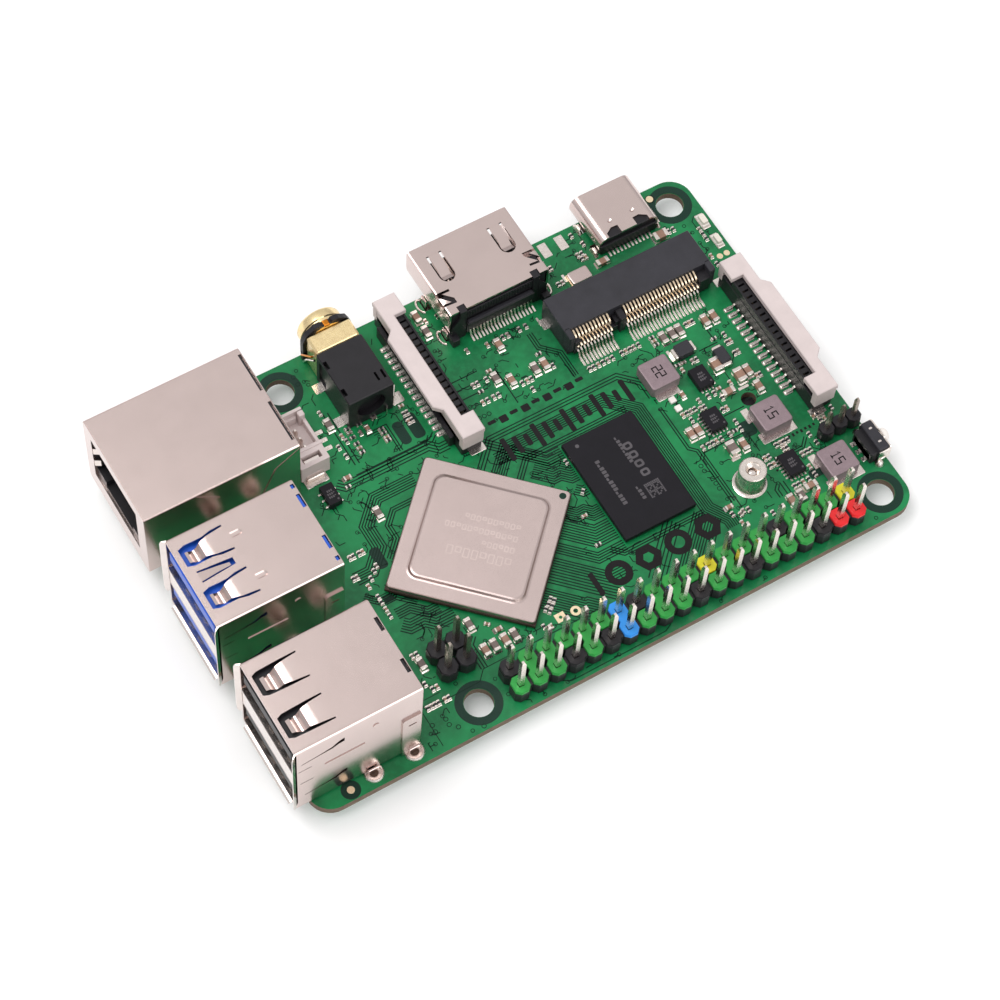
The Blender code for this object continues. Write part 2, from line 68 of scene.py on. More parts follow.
# ---------------------------------------------------------------- outlines
def rectangle(x, y, corner=0.0):
    """A rectangle over the spans x and y, with its corners cut off at 45 degrees."""
    (x0, x1), (y0, y1), c = x, y, corner
    if not c:
        return [(x0, y0), (x1, y0), (x1, y1), (x0, y1)]
    return [(x0 + c, y0), (x1 - c, y0), (x1, y0 + c), (x1, y1 - c),
            (x1 - c, y1), (x0 + c, y1), (x0, y1 - c), (x0, y0 + c)]


def around(x, y, width, depth):
    """The two spans of a box that is centred on x, y."""
    return (x - width / 2, x + width / 2), (y - depth / 2, y + depth / 2)


def circle(x, y, radius, count=20):
    step = 2 * math.pi / count
    return [(x + radius * math.cos(i * step), y + radius * math.sin(i * step)) for i in range(count)]


def rounded(x, y, radius, steps=4):
    """A rectangle over the spans x and y with round corners."""
    (x0, x1), (y0, y1), r = x, y, radius
    corners = [(x1 - r, y0 + r, -90), (x1 - r, y1 - r, 0), (x0 + r, y1 - r, 90), (x0 + r, y0 + r, 180)]
    return [(cx + r * math.cos(math.radians(first + 90 * i / steps)),
             cy + r * math.sin(math.radians(first + 90 * i / steps)))
            for cx, cy, first in corners for i in range(steps + 1)]


def inset(x, y, by, radius):
    """A round-cornered outline over the spans x and y, drawn in by the same amount on all sides."""
    return rounded((x[0] + by, x[1] - by), (y[0] + by, y[1] - by), radius)


def offset(points, amount, closed=True):
    """Moves every side of a polyline to its right, which is outwards on an anticlockwise outline."""
    count = len(points)
    moved = []
    for i, (x, y) in enumerate(points):
        before = points[i - 1] if closed or i else None
        after = points[(i + 1) % count] if closed or i < count - 1 else None
        normals = []
        for (ax, ay), (bx, by) in ((before or (x, y), (x, y)), ((x, y), after or (x, y))):
            length = math.hypot(bx - ax, by - ay)
            if length > 1e-9:
                normals.append(((by - ay) / length, (ax - bx) / length))
        nx = sum(n[0] for n in normals) / len(normals)
        ny = sum(n[1] for n in normals) / len(normals)
        scale = amount / max(nx * nx + ny * ny, 0.25)
        moved.append((x + nx * scale, y + ny * scale))
    return moved


def thicken(path, thickness):
    """The outline of a strip of that thickness along a polyline."""
    return offset(path, thickness / 2, False) + offset(path, -thickness / 2, False)[::-1]


def arc(x, y, radius, first, last, steps=6):
    """Points on an arc, from angle first to last in degrees."""
    angles = [math.radians(first + (last - first) * i / steps) for i in range(steps + 1)]
    return [(x + radius * math.cos(a), y + radius * math.sin(a)) for a in angles]


def axes(origin, u, v):
    """A placement whose local X runs along u and local Y along v."""
    u, v = Vector(u).normalized(), Vector(v).normalized()
    placed = Matrix((u, v, u.cross(v))).transposed().to_4x4()
    placed.translation = Vector(origin)
    return placed


def turned(x, y, z=0.0, degrees=0.0):
    return Matrix.Translation((x, y, z)) @ Matrix.Rotation(math.radians(degrees), 4, "Z")


SIDE_X = ((0, 1, 0), (0, 0, 1))      # local X, Y = board Y, Z; extrudes along +X
SIDE_Y = ((1, 0, 0), (0, 0, 1))      # local X, Y = board X, Z; extrudes along -Y


# ---------------------------------------------------------------- pieces
class Piece:
    """One visible piece: closed shapes with their materials, joined in a single mesh."""

    def __init__(self, name, slot=None, stands_for=(), body="board"):
        self.name, self.slot, self.stands_for, self.body = name, slot, stands_for, body
        self.mesh = bmesh.new()
        self.materials = []
        self.paint_index = 0
        self.place = Matrix.Identity(4)

    def paint(self, material):
        """Chooses the material of the shapes that follow."""
        if material not in self.materials:
            self.materials.append(material)
        self.paint_index = self.materials.index(material)
        return self

    def at(self, place=None):
        """Chooses the placement of the shapes that follow; none means plain board millimetres."""
        self.place = place or Matrix.Identity(4)
        return self

    def put(self, points, faces):
        corners = [self.mesh.verts.new(self.place @ Vector(point)) for point in points]
        for face in faces:
            made = self.mesh.faces.new([corners[i] for i in face])
            made.material_index = self.paint_index
            made.smooth = True

    def loft(self, rings, looped=False):
        """Skins a list of rings with equally many points, and closes the ends or joins them in a loop."""
        count = len(rings[0])
        faces = []
        for a in range(len(rings) if looped else len(rings) - 1):
            b = (a + 1) % len(rings)
            for i in range(count):
                j = (i + 1) % count
                faces.append((a * count + i, a * count + j, b * count + j, b * count + i))
        if not looped:
            last = (len(rings) - 1) * count
            faces.append(tuple(reversed(range(count))))
            faces.append(tuple(range(last, last + count)))
        self.put([point for ring in rings for point in ring], faces)

    def stack(self, levels):
        """Skins outlines that lie at the given heights: levels is a list of (outline, z)."""
        self.loft([[(x, y, z) for x, y in outline] for outline, z in levels])

    def slab(self, outline, z, bevel=0.0):
        """Extrudes an anticlockwise outline over the span z, with bevelled rims."""
        low, high = z
        if bevel:
            inner = offset(outline, -bevel)
            self.stack([(inner, low), (outline, low + bevel), (outline, high - bevel), (inner, high)])
        else:
            self.stack([(outline, low), (outline, high)])

    def block(self, x, y, z, bevel=0.05):
        """A box over the spans x, y and z, with all its edges bevelled."""
        self.slab(rectangle(x, y, bevel), z, bevel)

    def plate(self, outline, holes, z):
        """Extrudes an outline with holes over the span z."""
        loops = [outline] + holes
        flat = [point for loop in loops for point in loop]
        triangles = tessellate_polygon([[Vector((px, py, 0)) for px, py in loop] for loop in loops])
        count = len(flat)
        faces = [tuple(t) for t in triangles] + [tuple(i + count for i in reversed(t)) for t in triangles]
        start = 0
        for loop in loops:
            for i in range(len(loop)):
                a, b = start + i, start + (i + 1) % len(loop)
                faces.append((a, b, b + count, a + count))
            start += len(loop)
        self.put([(px, py, level) for level in z for px, py in flat], faces)

    def strip(self, path, thickness, z):
        """A strip that follows a polyline in the local XY plane and spans z."""
        self.slab(thicken(path, thickness), z)

    def turn(self, profile, count=20, looped=False):
        """Turns a profile of (radius, height) around local Z."""
        self.loft([[(x, y, h) for x, y in circle(0, 0, max(r, 0.01), count)] for r, h in profile], looped)

    def wire(self, path, radius, count=8):
        """A round wire along a list of points in space."""
        points = [Vector(p) for p in path]
        rings = []
        side = None
        for i, point in enumerate(points):
            ahead = (points[min(i + 1, len(points) - 1)] - points[max(i - 1, 0)]).normalized()
            side = side or ahead.orthogonal().normalized()
            side = (side - ahead * side.dot(ahead)).normalized()
            other = ahead.cross(side)
            rings.append([point + (side * math.cos(a) + other * math.sin(a)) * radius
                          for a in (2 * math.pi * k / count for k in range(count))])
        self.loft(rings)

    def loose(self):
        """What the piece holds so far, as a plain object in board millimetres."""
        bmesh.ops.recalc_face_normals(self.mesh, faces=self.mesh.faces)
        data = bpy.data.meshes.new(self.name)
        self.mesh.to_mesh(data)
        made = bpy.data.objects.new(self.name, data)
        bpy.context.scene.collection.objects.link(made)
        return made

    def carve(self, cutter):
        """Cuts the cutter's shapes out of what the piece holds so far, which has one material."""
        target, tool = self.loose(), cutter.loose()
        modifier = target.modifiers.new("cut", "BOOLEAN")
        modifier.object, modifier.solver, modifier.use_self = tool, "EXACT", True
        depsgraph = bpy.context.evaluated_depsgraph_get()
        carved = bpy.data.meshes.new_from_object(target.evaluated_get(depsgraph))
        self.mesh.clear()
        self.mesh.from_mesh(carved)
        bmesh.ops.dissolve_degenerate(self.mesh, dist=0.0005, edges=self.mesh.edges)
        for face in self.mesh.faces:
            face.smooth, face.material_index = True, 0
        for spent in (target, tool):
            bpy.data.objects.remove(spent)

    def done(self, sharp=35):
        """Makes the finished object in the frame's metres, riding on its body."""
        made = self.loose()
        self.mesh.free()
        made.data.transform(BOARD_TO_FRAME)
        for material in self.materials:
            made.data.materials.append(material)
        made.data.set_sharp_from_angle(angle=math.radians(sharp))
        made.modifiers.new("flat_faces_first", "WEIGHTED_NORMAL").keep_sharp = True
        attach(made, self.body)
        if self.stands_for:
            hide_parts(*self.stands_for)
        return made


# ---------------------------------------------------------------- materials
def srgb(red, green, blue):
    """Linear colour of an 8-bit display colour."""
    def linear(value):
        value /= 255
        return value / 12.92 if value <= 0.04045 else ((value + 0.055) / 1.055) ** 2.4
    return linear(red), linear(green), linear(blue), 1.0


class Shader:
    """Adds nodes to one material and wires them together."""

    def __init__(self, name):
        self.material = bpy.data.materials.new(name)
        self.material.use_nodes = True
        self.tree = self.material.node_tree
        self.main = self.tree.nodes["Principled BSDF"]
        self.coordinates = self.tree.nodes.new("ShaderNodeTexCoord").outputs["Object"]

    def node(self, kind, inputs=(), **settings):
        made = self.tree.nodes.new("ShaderNode" + kind)
        for key, value in settings.items():
            setattr(made, key, value)
        for key, value in dict(inputs).items():
            if isinstance(value, bpy.types.NodeSocket):
                self.tree.links.new(value, made.inputs[key])
            else:
                made.inputs[key].default_value = value
        return made

    def link(self, output, socket):
        self.tree.links.new(output, self.main.inputs[socket])

    def set(self, **values):
        for key, value in values.items():
            self.main.inputs[key.replace("_", " ")].default_value = value

    def scaled(self, x, y, z):
        """Object coordinates with the given number of cells per millimetre along each axis."""
        scale = tuple(value / MM for value in (x, y, z))
        return self.node("Mapping", {"Vector": self.coordinates, "Scale": scale}).outputs[0]

    def noise(self, per_mm, detail=3.0, rough=0.55, stretch=(1, 1, 1)):
        vector = self.scaled(*(per_mm * s for s in stretch))
        return self.node("TexNoise", {"Vector": vector, "Scale": 1.0, "Detail": detail,
                                      "Roughness": rough}).outputs["Fac"]

    def spread(self, factor, low, high, near=0.3, far=0.7):
        """Maps a noise value to the range low to high."""
        return self.node("MapRange", {"Value": factor, "From Min": near, "From Max": far,
                                      "To Min": low, "To Max": high}).outputs[0]

    def blend(self, factor, first, second):
        mixed = self.node("Mix", data_type="RGBA")
        for socket, value in ((0, factor), (6, first), (7, second)):
            if isinstance(value, bpy.types.NodeSocket):
                self.tree.links.new(value, mixed.inputs[socket])
            else:
                mixed.inputs[socket].default_value = value
        return mixed.outputs[2]

    def bump(self, height, depth_mm, normal=None):
        inputs = {"Height": height, "Strength": 1.0, "Distance": depth_mm * MM}
        if normal:
            inputs["Normal"] = normal
        return self.node("Bump", inputs).outputs[0]


def shade(colour, factor):
    return tuple(min(c * factor, 1.0) for c in colour[:3]) + (1.0,)


def surface(name, colour, rough=0.5, metal=0.0, mottle=0.12, patch=0.6, grain=18.0, depth=0.004,
            stretch=(1, 1, 1), vary=0.12, specks=0.0, **extra):
    """A material with patchy colour, uneven gloss and a fine grain; patch and grain are in cells per mm."""
    s = Shader(name)
    s.set(Metallic=metal, **extra)
    large = s.noise(patch, 4.0)
    tinted = s.blend(s.spread(large, 0.0, 1.0), shade(colour, 1 - mottle), shade(colour, 1 + mottle))
    if specks:
        spots = s.noise(grain * 0.7, 1.0)
        tinted = s.blend(s.spread(spots, 0.0, specks, 0.6, 0.75), tinted, shade(colour, 2.2))
    s.link(tinted, "Base Color")
    fine = s.noise(grain, 3.0, 0.6, stretch)
    s.link(s.spread(fine, max(rough - vary, 0.02), rough + vary), "Roughness")
    waves = s.bump(large, depth * 1.5)
    s.link(s.bump(fine, depth, waves), "Normal")
    return s.material


def laminate_and_mask():
    """Solder mask on both faces, raw layered laminate on every cut edge and hole wall."""
    s = Shader("solder_mask")
    pour = s.noise(0.16, 3.0)
    fine = s.noise(1.3, 4.0)
    green = s.blend(s.spread(pour, 0.0, 1.0, 0.42, 0.6), srgb(14, 104, 59), srgb(20, 129, 73))
    green = s.blend(s.spread(fine, 0.0, 0.35, 0.45, 0.7), green, srgb(28, 141, 84))
    layers = s.noise(2.0, 4.0, 0.6, (0.6, 0.6, 9.0))
    edge = s.blend(s.spread(layers, 0.0, 1.0), srgb(72, 58, 46), srgb(130, 112, 94))
    up = s.node("SeparateXYZ", {"Vector": s.node("NewGeometry").outputs["True Normal"]}).outputs[2]
    flat = s.node("Math", {0: up}, operation="ABSOLUTE").outputs[0]
    face = s.node("Math", {0: flat, 1: 0.5}, operation="GREATER_THAN").outputs[0]
    s.link(s.blend(face, edge, green), "Base Color")
    s.link(s.spread(face, 0.75, 0.3, 0.0, 1.0), "Roughness")
    weave = s.noise(3.0, 2.0)
    s.link(s.bump(weave, 0.01), "Normal")
    s.set(Specular_IOR_Level=0.35)
    return s.material


# the looks, under the short names that the pieces use
M = dict(
    mask=laminate_and_mask(),
    trace_gap=surface("trace_gap", srgb(4, 38, 26), 0.4, mottle=0.2, depth=0.002, Specular_IOR_Level=0.2),
    dark_mask=surface("dark_mask", srgb(8, 46, 34), 0.35, mottle=0.12, depth=0.002, Specular_IOR_Level=0.3),
    ink=surface("silkscreen_ink", srgb(22, 18, 20), 0.66, mottle=0.2, grain=9.0, depth=0.006,
                Specular_IOR_Level=0.25),
    shell=surface("shell_nickel", srgb(217, 199, 194), 0.2, 1.0, mottle=0.025, patch=0.25, grain=26.0,
                  depth=0.0004, vary=0.05),
    bright=surface("bright_nickel", srgb(238, 228, 222), 0.16, 1.0, mottle=0.04, patch=0.8, depth=0.002),
    tin=surface("tin", srgb(236, 226, 218), 0.24, 1.0, mottle=0.08, patch=1.5, grain=8.0, depth=0.012),
    solder=surface("solder", srgb(234, 224, 217), 0.28, 1.0, mottle=0.08, patch=2.0, grain=5.0, depth=0.012),
    pin=surface("pin_tin", srgb(238, 228, 220), 0.22, 1.0, mottle=0.05, patch=1.0, grain=9.0, depth=0.004),
    gold=surface("gold", srgb(250, 224, 172), 0.28, 1.0, mottle=0.08, patch=1.2, grain=12.0, depth=0.002),
    gold_pad=surface("gold_pad", srgb(252, 228, 192), 0.35, 1.0, mottle=0.08, patch=2.0, depth=0.004),
    black=surface("black_moulding", srgb(28, 26, 30), 0.42, mottle=0.15, grain=14.0, depth=0.008, specks=0.12,
                  Specular_IOR_Level=0.35),
    charcoal=surface("charcoal_moulding", srgb(44, 43, 49), 0.5, mottle=0.2, patch=0.35, grain=10.0,
                     depth=0.012, specks=0.2, Specular_IOR_Level=0.4),
    blue=surface("blue_moulding", srgb(22, 84, 196), 0.36, mottle=0.1, grain=12.0, depth=0.006),
    cream=surface("cream_moulding", srgb(210, 196, 194), 0.48, mottle=0.04, grain=12.0, depth=0.006),
    white=surface("white_moulding", srgb(236, 230, 224), 0.4, mottle=0.04, grain=12.0, depth=0.005),
    epoxy=surface("chip_epoxy", srgb(21, 19, 25), 0.5, mottle=0.12, grain=22.0, depth=0.008, specks=0.25,
                  Specular_IOR_Level=0.22),
    mark=surface("laser_mark", srgb(78, 74, 78), 0.6, mottle=0.15, grain=14.0, depth=0.004),
    substrate=surface("substrate_laminate", srgb(50, 33, 24), 0.55, mottle=0.25, grain=8.0, depth=0.006,
                      stretch=(0.5, 0.5, 6)),
    lid=surface("lid_nickel", srgb(203, 185, 181), 0.36, 1.0, mottle=0.03, patch=0.3, grain=30.0,
                depth=0.002),
    lid_mark=surface("lid_mark", srgb(212, 195, 190), 0.46, 1.0, mottle=0.04, grain=20.0, depth=0.004),
    ferrite=surface("ferrite_block", srgb(142, 124, 129), 0.48, 0.35, mottle=0.08, patch=1.6, grain=14.0,
                    depth=0.012, specks=0.3),
    ceramic=surface("ceramic_tan", srgb(150, 116, 98), 0.42, mottle=0.14, patch=1.4, grain=16.0, depth=0.004),
    ceramic_dark=surface("ceramic_grey", srgb(112, 98, 92), 0.42, mottle=0.14, patch=1.4, grain=16.0,
                         depth=0.004),
    resistor=surface("resistor_black", srgb(34, 34, 38), 0.4, mottle=0.2, grain=16.0, depth=0.004),
    lens=surface("led_lens", srgb(240, 232, 220), 0.2, mottle=0.04, grain=8.0, depth=0.004,
                 Transmission_Weight=0.15),
    red=surface("red_moulding", srgb(232, 30, 36), 0.4, mottle=0.06, depth=0.006),
    yellow=surface("yellow_moulding", srgb(214, 208, 34), 0.42, mottle=0.06, depth=0.006),
    green=surface("green_moulding", srgb(34, 152, 60), 0.4, mottle=0.08, depth=0.006),
    sky=surface("sky_blue_moulding", srgb(42, 146, 232), 0.4, mottle=0.06, depth=0.006),
    # painted shade: the dark brown of the disc that stands for the inside of a joint's hole
    hole=surface("joint_hole_painted_shade", srgb(74, 52, 38), 0.5, mottle=0.3, patch=2.0, depth=0.01),
    contact=surface("contact_alloy", srgb(236, 214, 184), 0.24, 1.0, mottle=0.06, patch=1.2, depth=0.002),
    dark_pin=surface("dark_pin", srgb(176, 164, 154), 0.28, 1.0, mottle=0.12, patch=1.2, depth=0.006),
    copper=surface("amber_contact", srgb(206, 128, 44), 0.25, 1.0, mottle=0.1, patch=1.5, depth=0.003),
)


def dress(node, *materials):
    """Gives a CAD node that stays visible its finished material."""
    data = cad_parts[node].data
    data.materials.clear()
    for material in materials:
        data.materials.append(material)
    for face in data.polygons:
        face.use_smooth = True
    data.set_sharp_from_angle(angle=math.radians(30))


# ---------------------------------------------------------------- board artwork
LAND_TOP, TRACE_TOP, VIA_TOP, INK_TOP, PAD_TOP = 0.004, 0.008, 0.012, 0.018, 0.035
SUNK = -0.03


def bus(art, path, count, pitch=0.32, width=0.165):
    """Parallel trace gaps; each one runs to the right of the one before."""
    for i in range(count):
        art.strip(offset(path, i * pitch, False), width, (SUNK, TRACE_TOP))


def via(art, x, y, radius=0.27, rim=0.09):
    if 0.5 < x < BOARD_SIZE.x - 0.5 and 0.5 < y < BOARD_SIZE.y - 0.5:
        art.plate(circle(x, y, radius, 12), [circle(x, y, radius - rim, 12)[::-1]], (SUNK, VIA_TOP))


def scribble(art, chance, x, y, count, reach=2.2):
    """Short routed traces with 45 degree bends and a via at one end, at seeded places in a zone."""
    for _ in range(count):
        px, py = chance.uniform(*x), chance.uniform(*y)
        heading = chance.choice(range(8))
        path = [(px, py)]
        for _ in range(chance.choice((1, 2, 2, 3))):
            length = chance.uniform(0.3, reach * 0.5)
            px += length * math.cos(heading * math.pi / 4)
            py += length * math.sin(heading * math.pi / 4)
            px, py = min(max(px, x[0]), x[1]), min(max(py, y[0]), y[1])
            if math.dist(path[-1], (px, py)) > 0.15:
                path.append((px, py))
            heading += chance.choice((-1, 1))
        ended = chance.random() < 0.6
        if any(math.dist(point, hole) < 3.3 for point in path for hole in MOUNT_HOLES):
            continue
        if len(path) > 1:
            art.strip(path, 0.12, (SUNK, TRACE_TOP))
        if ended:
            via(art, *path[0])


def build_traces():
    art = Piece("board_trace_gaps").paint(M["trace_gap"])
    # beside the memory chip and round below it to the processor
    bus(art, [(21.0, 47.6), (21.0, 46.2), (22.6, 43.6), (22.6, 27.2), (26.4, 23.4), (41.2, 23.4),
              (44.6, 26.8)], 7, -0.3)
    bus(art, [(20.6, 27.0), (20.6, 24.4), (23.2, 21.8), (42.2, 21.8), (46.6, 26.2)], 3, -0.42)
    bus(art, [(24.8, 26.4), (39.6, 26.4), (43.4, 30.2)], 3, -0.36)
    # from the header pins down to the memory chip
    bus(art, [(31.6, 49.6), (25.2, 43.4)], 11, 0.34)
    bus(art, [(33.6, 49.8), (27.6, 43.9)], 5, -0.5)
    bus(art, [(24.2, 43.7), (35.6, 43.7), (36.8, 42.5)], 3, -0.33)
    # memory chip to processor, above its corner
    bus(art, [(35.1, 42.4), (38.6, 42.4), (43.2, 37.8)], 5, -0.34)
    bus(art, [(35.1, 41.8), (38.2, 41.8), (42.2, 37.8)], 9, 0.36)
    bus(art, [(35.1, 38.4), (36.6, 38.4), (37.4, 37.6), (38.4, 37.6), (40.2, 35.8)], 7, 0.3)
    bus(art, [(36.8, 45.4), (38.6, 45.4), (44.6, 39.4)], 5, -0.36)
    bus(art, [(41.6, 48.2), (42.9, 46.9), (43.2, 46.9), (47.4, 42.7)], 9, -0.34)
    bus(art, [(38.8, 47.8), (45.6, 41.0)], 5, -0.4)
    # and below its corner
    bus(art, [(35.1, 34.9), (36.0, 34.9), (36.9, 34.0)], 5, 0.34)
    bus(art, [(35.1, 32.6), (36.2, 32.6), (37.2, 31.6), (38.2, 31.6), (40.4, 29.4)], 9, 0.32)
    bus(art, [(35.1, 29.0), (37.6, 29.0), (40.6, 26.0), (42.8, 26.0)], 6, 0.34)
    bus(art, [(38.6, 27.6), (43.4, 22.8), (46.0, 22.8)], 4, 0.4)
    # along the front of the processor to the network socket
    bus(art, [(46.9, 20.9), (48.4, 20.9), (49.4, 19.9), (61.2, 19.9), (62.2, 18.9)], 4, 0.42)
    bus(art, [(53.0, 23.3), (58.2, 23.3), (60.6, 25.7), (60.6, 28.9), (63.6, 31.9), (66.2, 31.9)], 6, 0.34)
    bus(art, [(54.4, 24.6), (57.6, 24.6), (59.4, 26.4), (59.4, 28.4), (61.4, 30.4)], 3, -0.34)
    bus(art, [(47.4, 18.2), (48.4, 19.0), (59.0, 19.0)], 2, 0.5)
    # behind the processor
    bus(art, [(58.0, 41.8), (60.9, 41.8), (62.0, 40.7), (63.9, 40.7), (64.9, 39.7)], 6, 0.36)
    bus(art, [(59.2, 39.8), (61.0, 39.8), (62.6, 38.2), (64.2, 38.2)], 5, 0.33)
    bus(art, [(61.4, 37.6), (63.2, 35.8), (64.6, 35.8)], 4, 0.33)
    bus(art, [(62.3, 33.4), (63.6, 34.7), (64.8, 34.7), (66.2, 33.3)], 4, -0.3)
    bus(art, [(57.4, 44.8), (58.2, 45.6), (58.2, 48.9)], 3, 0.4)
    # round the headers
    art.strip([(42.2, 48.95), (58.8, 48.95), (60.0, 50.2), (66.0, 50.2)], 0.12, (SUNK, TRACE_TOP))
    art.strip([(36.0, 55.0), (37.0, 55.5), (50.4, 55.5), (51.4, 54.9)], 0.12, (SUNK, TRACE_TOP))
    art.strip([(64.8, 49.0), (67.2, 49.0), (68.0, 49.8), (68.0, 55.2)], 0.1, (SUNK, TRACE_TOP))
    # power area
    bus(art, [(13.2, 45.2), (13.2, 47.6), (14.0, 48.4)], 2, 0.5)
    bus(art, [(19.7, 45.8), (19.7, 37.0), (13.4, 37.0), (13.4, 40.2)], 1)
    bus(art, [(20.4, 44.6), (20.4, 36.4), (21.2, 35.6), (21.2, 28.8)], 2, 0.35)
    bus(art, [(11.6, 33.8), (14.6, 33.8)], 1)
    bus(art, [(9.4, 24.2), (12.2, 24.2)], 1)
    bus(art, [(9.6, 21.9), (9.6, 24.0)], 1)
    bus(art, [(14.8, 47.0), (14.8, 45.8), (14.2, 45.2)], 2, 0.4)
    bus(art, [(10.0, 42.2), (8.4, 42.2), (7.4, 41.2)], 2, 0.35)
    bus(art, [(27.4, 19.6), (27.4, 15.6), (29.4, 13.6), (29.4, 11.4)], 3, -0.34)
    bus(art, [(31.9, 11.2), (31.9, 9.9), (33.2, 9.9)], 1)
    bus(art, [(38.4, 12.9), (42.6, 12.9)], 3, -1.4)
    bus(art, [(36.2, 19.4), (36.2, 14.2), (37.8, 14.2)], 1)
    bus(art, [(52.2, 18.2), (52.2, 14.0), (55.2, 14.0)], 2, -0.35)
    bus(art, [(58.4, 17.2), (58.4, 9.0)], 2, 0.6)
    for x, y in MOUNT_HOLES:
        for i, angle in enumerate(range(8, 360, 40)):
            if i % 3:
                via(art, x + 3.7 * math.cos(math.radians(angle)), y + 3.7 * math.sin(math.radians(angle)))
    chance = random.Random(7)
    # spans along X and Y, and how many short traces lie there
    zones = [((12.6, 21.8), (34.6, 47.4), 46), ((5.6, 12.4), (40.0, 48.0), 22),
             ((6.6, 14.4), (19.2, 33.6), 34), ((15.6, 22.4), (19.0, 31.6), 26),
             ((35.4, 40.4), (27.4, 42.2), 26), ((24.8, 43.8), (43.6, 48.4), 14),
             ((28.0, 42.6), (9.4, 20.6), 52), ((47.8, 58.2), (12.6, 22.0), 34),
             ((57.6, 65.8), (19.0, 31.0), 30), ((59.4, 66.0), (31.0, 47.6), 34),
             ((47.6, 52.0), (0.8, 3.6), 8), ((57.2, 60.6), (0.8, 16.8), 16),
             ((39.9, 43.0), (0.8, 9.4), 14), ((16.4, 24.4), (0.6, 5.8), 16),
             ((0.8, 5.0), (6.2, 16.4), 10), ((65.2, 69.4), (45.0, 55.2), 12),
             ((72.6, 84.0), (35.9, 40.4), 8), ((44.0, 52.4), (46.0, 49.4), 10),
             ((20.0, 60.0), (54.9, 55.7), 8), ((40.8, 47.6), (22.4, 27.0), 16),
             ((52.4, 58.8), (42.4, 48.6), 10)]
    for x, y, count in zones:
        scribble(art, chance, x, y, count)
    for x, y in ((62.5, 55.4), (67.9, 53.2), (67.8, 52.3), (65.2, 54.0), (66.0, 53.2), (66.0, 52.4),
                 (42.6, 18.4), (40.2, 19.0), (40.9, 19.0), (41.6, 19.0), (20.7, 40.6), (20.7, 41.4),
                 (20.7, 42.2), (21.0, 39.2), (21.0, 38.4), (34.4, 3.0), (59.0, 2.4), (59.0, 3.6)):
        via(art, x, y, 0.32, 0.1)
    art.done()


def build_lands():
    """Dark rings where the mask has no copper under it, bare pads, plated rings and fiducials."""
    art = Piece("board_dark_lands").paint(M["dark_mask"])
    for x, y in MOUNT_HOLES:
        for top, low in ((LAND_TOP, -0.052), (BOARD_UNDERSIDE + 0.052, BOARD_UNDERSIDE - LAND_TOP)):
            art.plate(circle(x, y, 2.94, 40), [circle(x, y, 1.9, 40)[::-1]], (low, top))
    for x, y, radius in ((80.2, 54.7, 1.22), (5.35, 1.45, 0.62)):
        art.slab(circle(x, y, radius, 28), (SUNK, LAND_TOP))
    for x, y in (((48.4, 50.0), (13.9, 17.8)), ((50.4, 51.8), (14.3, 17.8))):
        art.slab(rounded(x, y, 0.6), (SUNK, LAND_TOP))
    art.slab(rounded((12.0, 14.0), (35.6, 37.9), 0.5), (SUNK, LAND_TOP))
    art.slab(rounded((7.5, 9.9), (45.6, 46.9), 0.4), (SUNK, LAND_TOP))
    art.slab(rounded((61.6, 63.0), (28.3, 31.4), 0.5), (SUNK, LAND_TOP))
    art.done()

    pads = Piece("board_bare_pads", "tin_plate").paint(M["solder"])
    for x, y in (((18.4, 19.6), (0.5, 2.7)), ((20.9, 22.1), (0.5, 2.7)), ((21.3, 21.7), (5.9, 7.1)),
                 ((9.4, 10.9), (31.25, 31.65)), ((15.6, 16.0), (22.2, 23.9)), ((16.0, 17.2), (39.5, 39.9)),
                 ((27.6, 27.9), (9.8, 11.2))):
        pads.slab(rounded(x, y, 0.08), (SUNK, PAD_TOP), 0.01)
    pads.paint(M["gold_pad"])
    for x, y, radius in ((1.0, 13.4, 0.42), (2.05, 13.4, 0.42), (80.2, 54.7, 0.48), (5.35, 1.45, 0.5)):
        pads.slab(circle(x, y, radius, 20), (SUNK, PAD_TOP), 0.01)
    pads.plate(circle(45.1, 47.8, 0.66, 20), [circle(45.1, 47.8, 0.3, 20)[::-1]], (SUNK, PAD_TOP))
    pads.plate(rectangle(*around(47.15, 47.65, 1.3, 1.2)), [circle(47.15, 47.65, 0.22, 12)[::-1]],
               (SUNK, PAD_TOP))
    pads.done()


def build_ink():
    """Generic silkscreen figures in place of the printed names: rings, discs, bars and tick marks."""
    ink = Piece("board_silkscreen").paint(M["ink"])
    z = (SUNK, INK_TOP)
    for i, x in enumerate((24.9, 29.2, 33.5, 37.8, 41.0)):
        if i % 2:
            ink.plate(circle(x, 46.0, 1.75, 28), [circle(x, 46.0, 0.85, 20)[::-1]], z)
        elif i < 4:
            ink.plate(circle(x, 46.0, 1.85, 6), [circle(x, 46.0, 0.75, 6)[::-1]], z)
        else:
            ink.slab(rounded((x - 0.35, x + 0.35), (44.3, 47.7), 0.3), z)
    for i in range(13):
        tall = (1.75, 0.85, 1.3)[i % 3]
        ink.slab(rounded((23.0 + i * 1.45, 23.7 + i * 1.45), (24.6 - tall, 24.6 + tall), 0.2), z)
    for i in range(9):
        ink.slab(rounded((27.2 + i * 1.6, 28.3 + i * 1.6), (20.0, 20.5 + 0.5 * (i % 2)), 0.15), z)
    ink.slab(circle(18.6, 32.9, 0.16, 10), z)
    ink.slab(circle(13.0, 43.6, 0.16, 10), z)
    for i in range(8):
        ink.slab(rectangle((5.2 + i * 0.62, 5.5 + i * 0.62), (40.1, 40.45 + 0.12 * (i % 2))), z)
    ink.done()


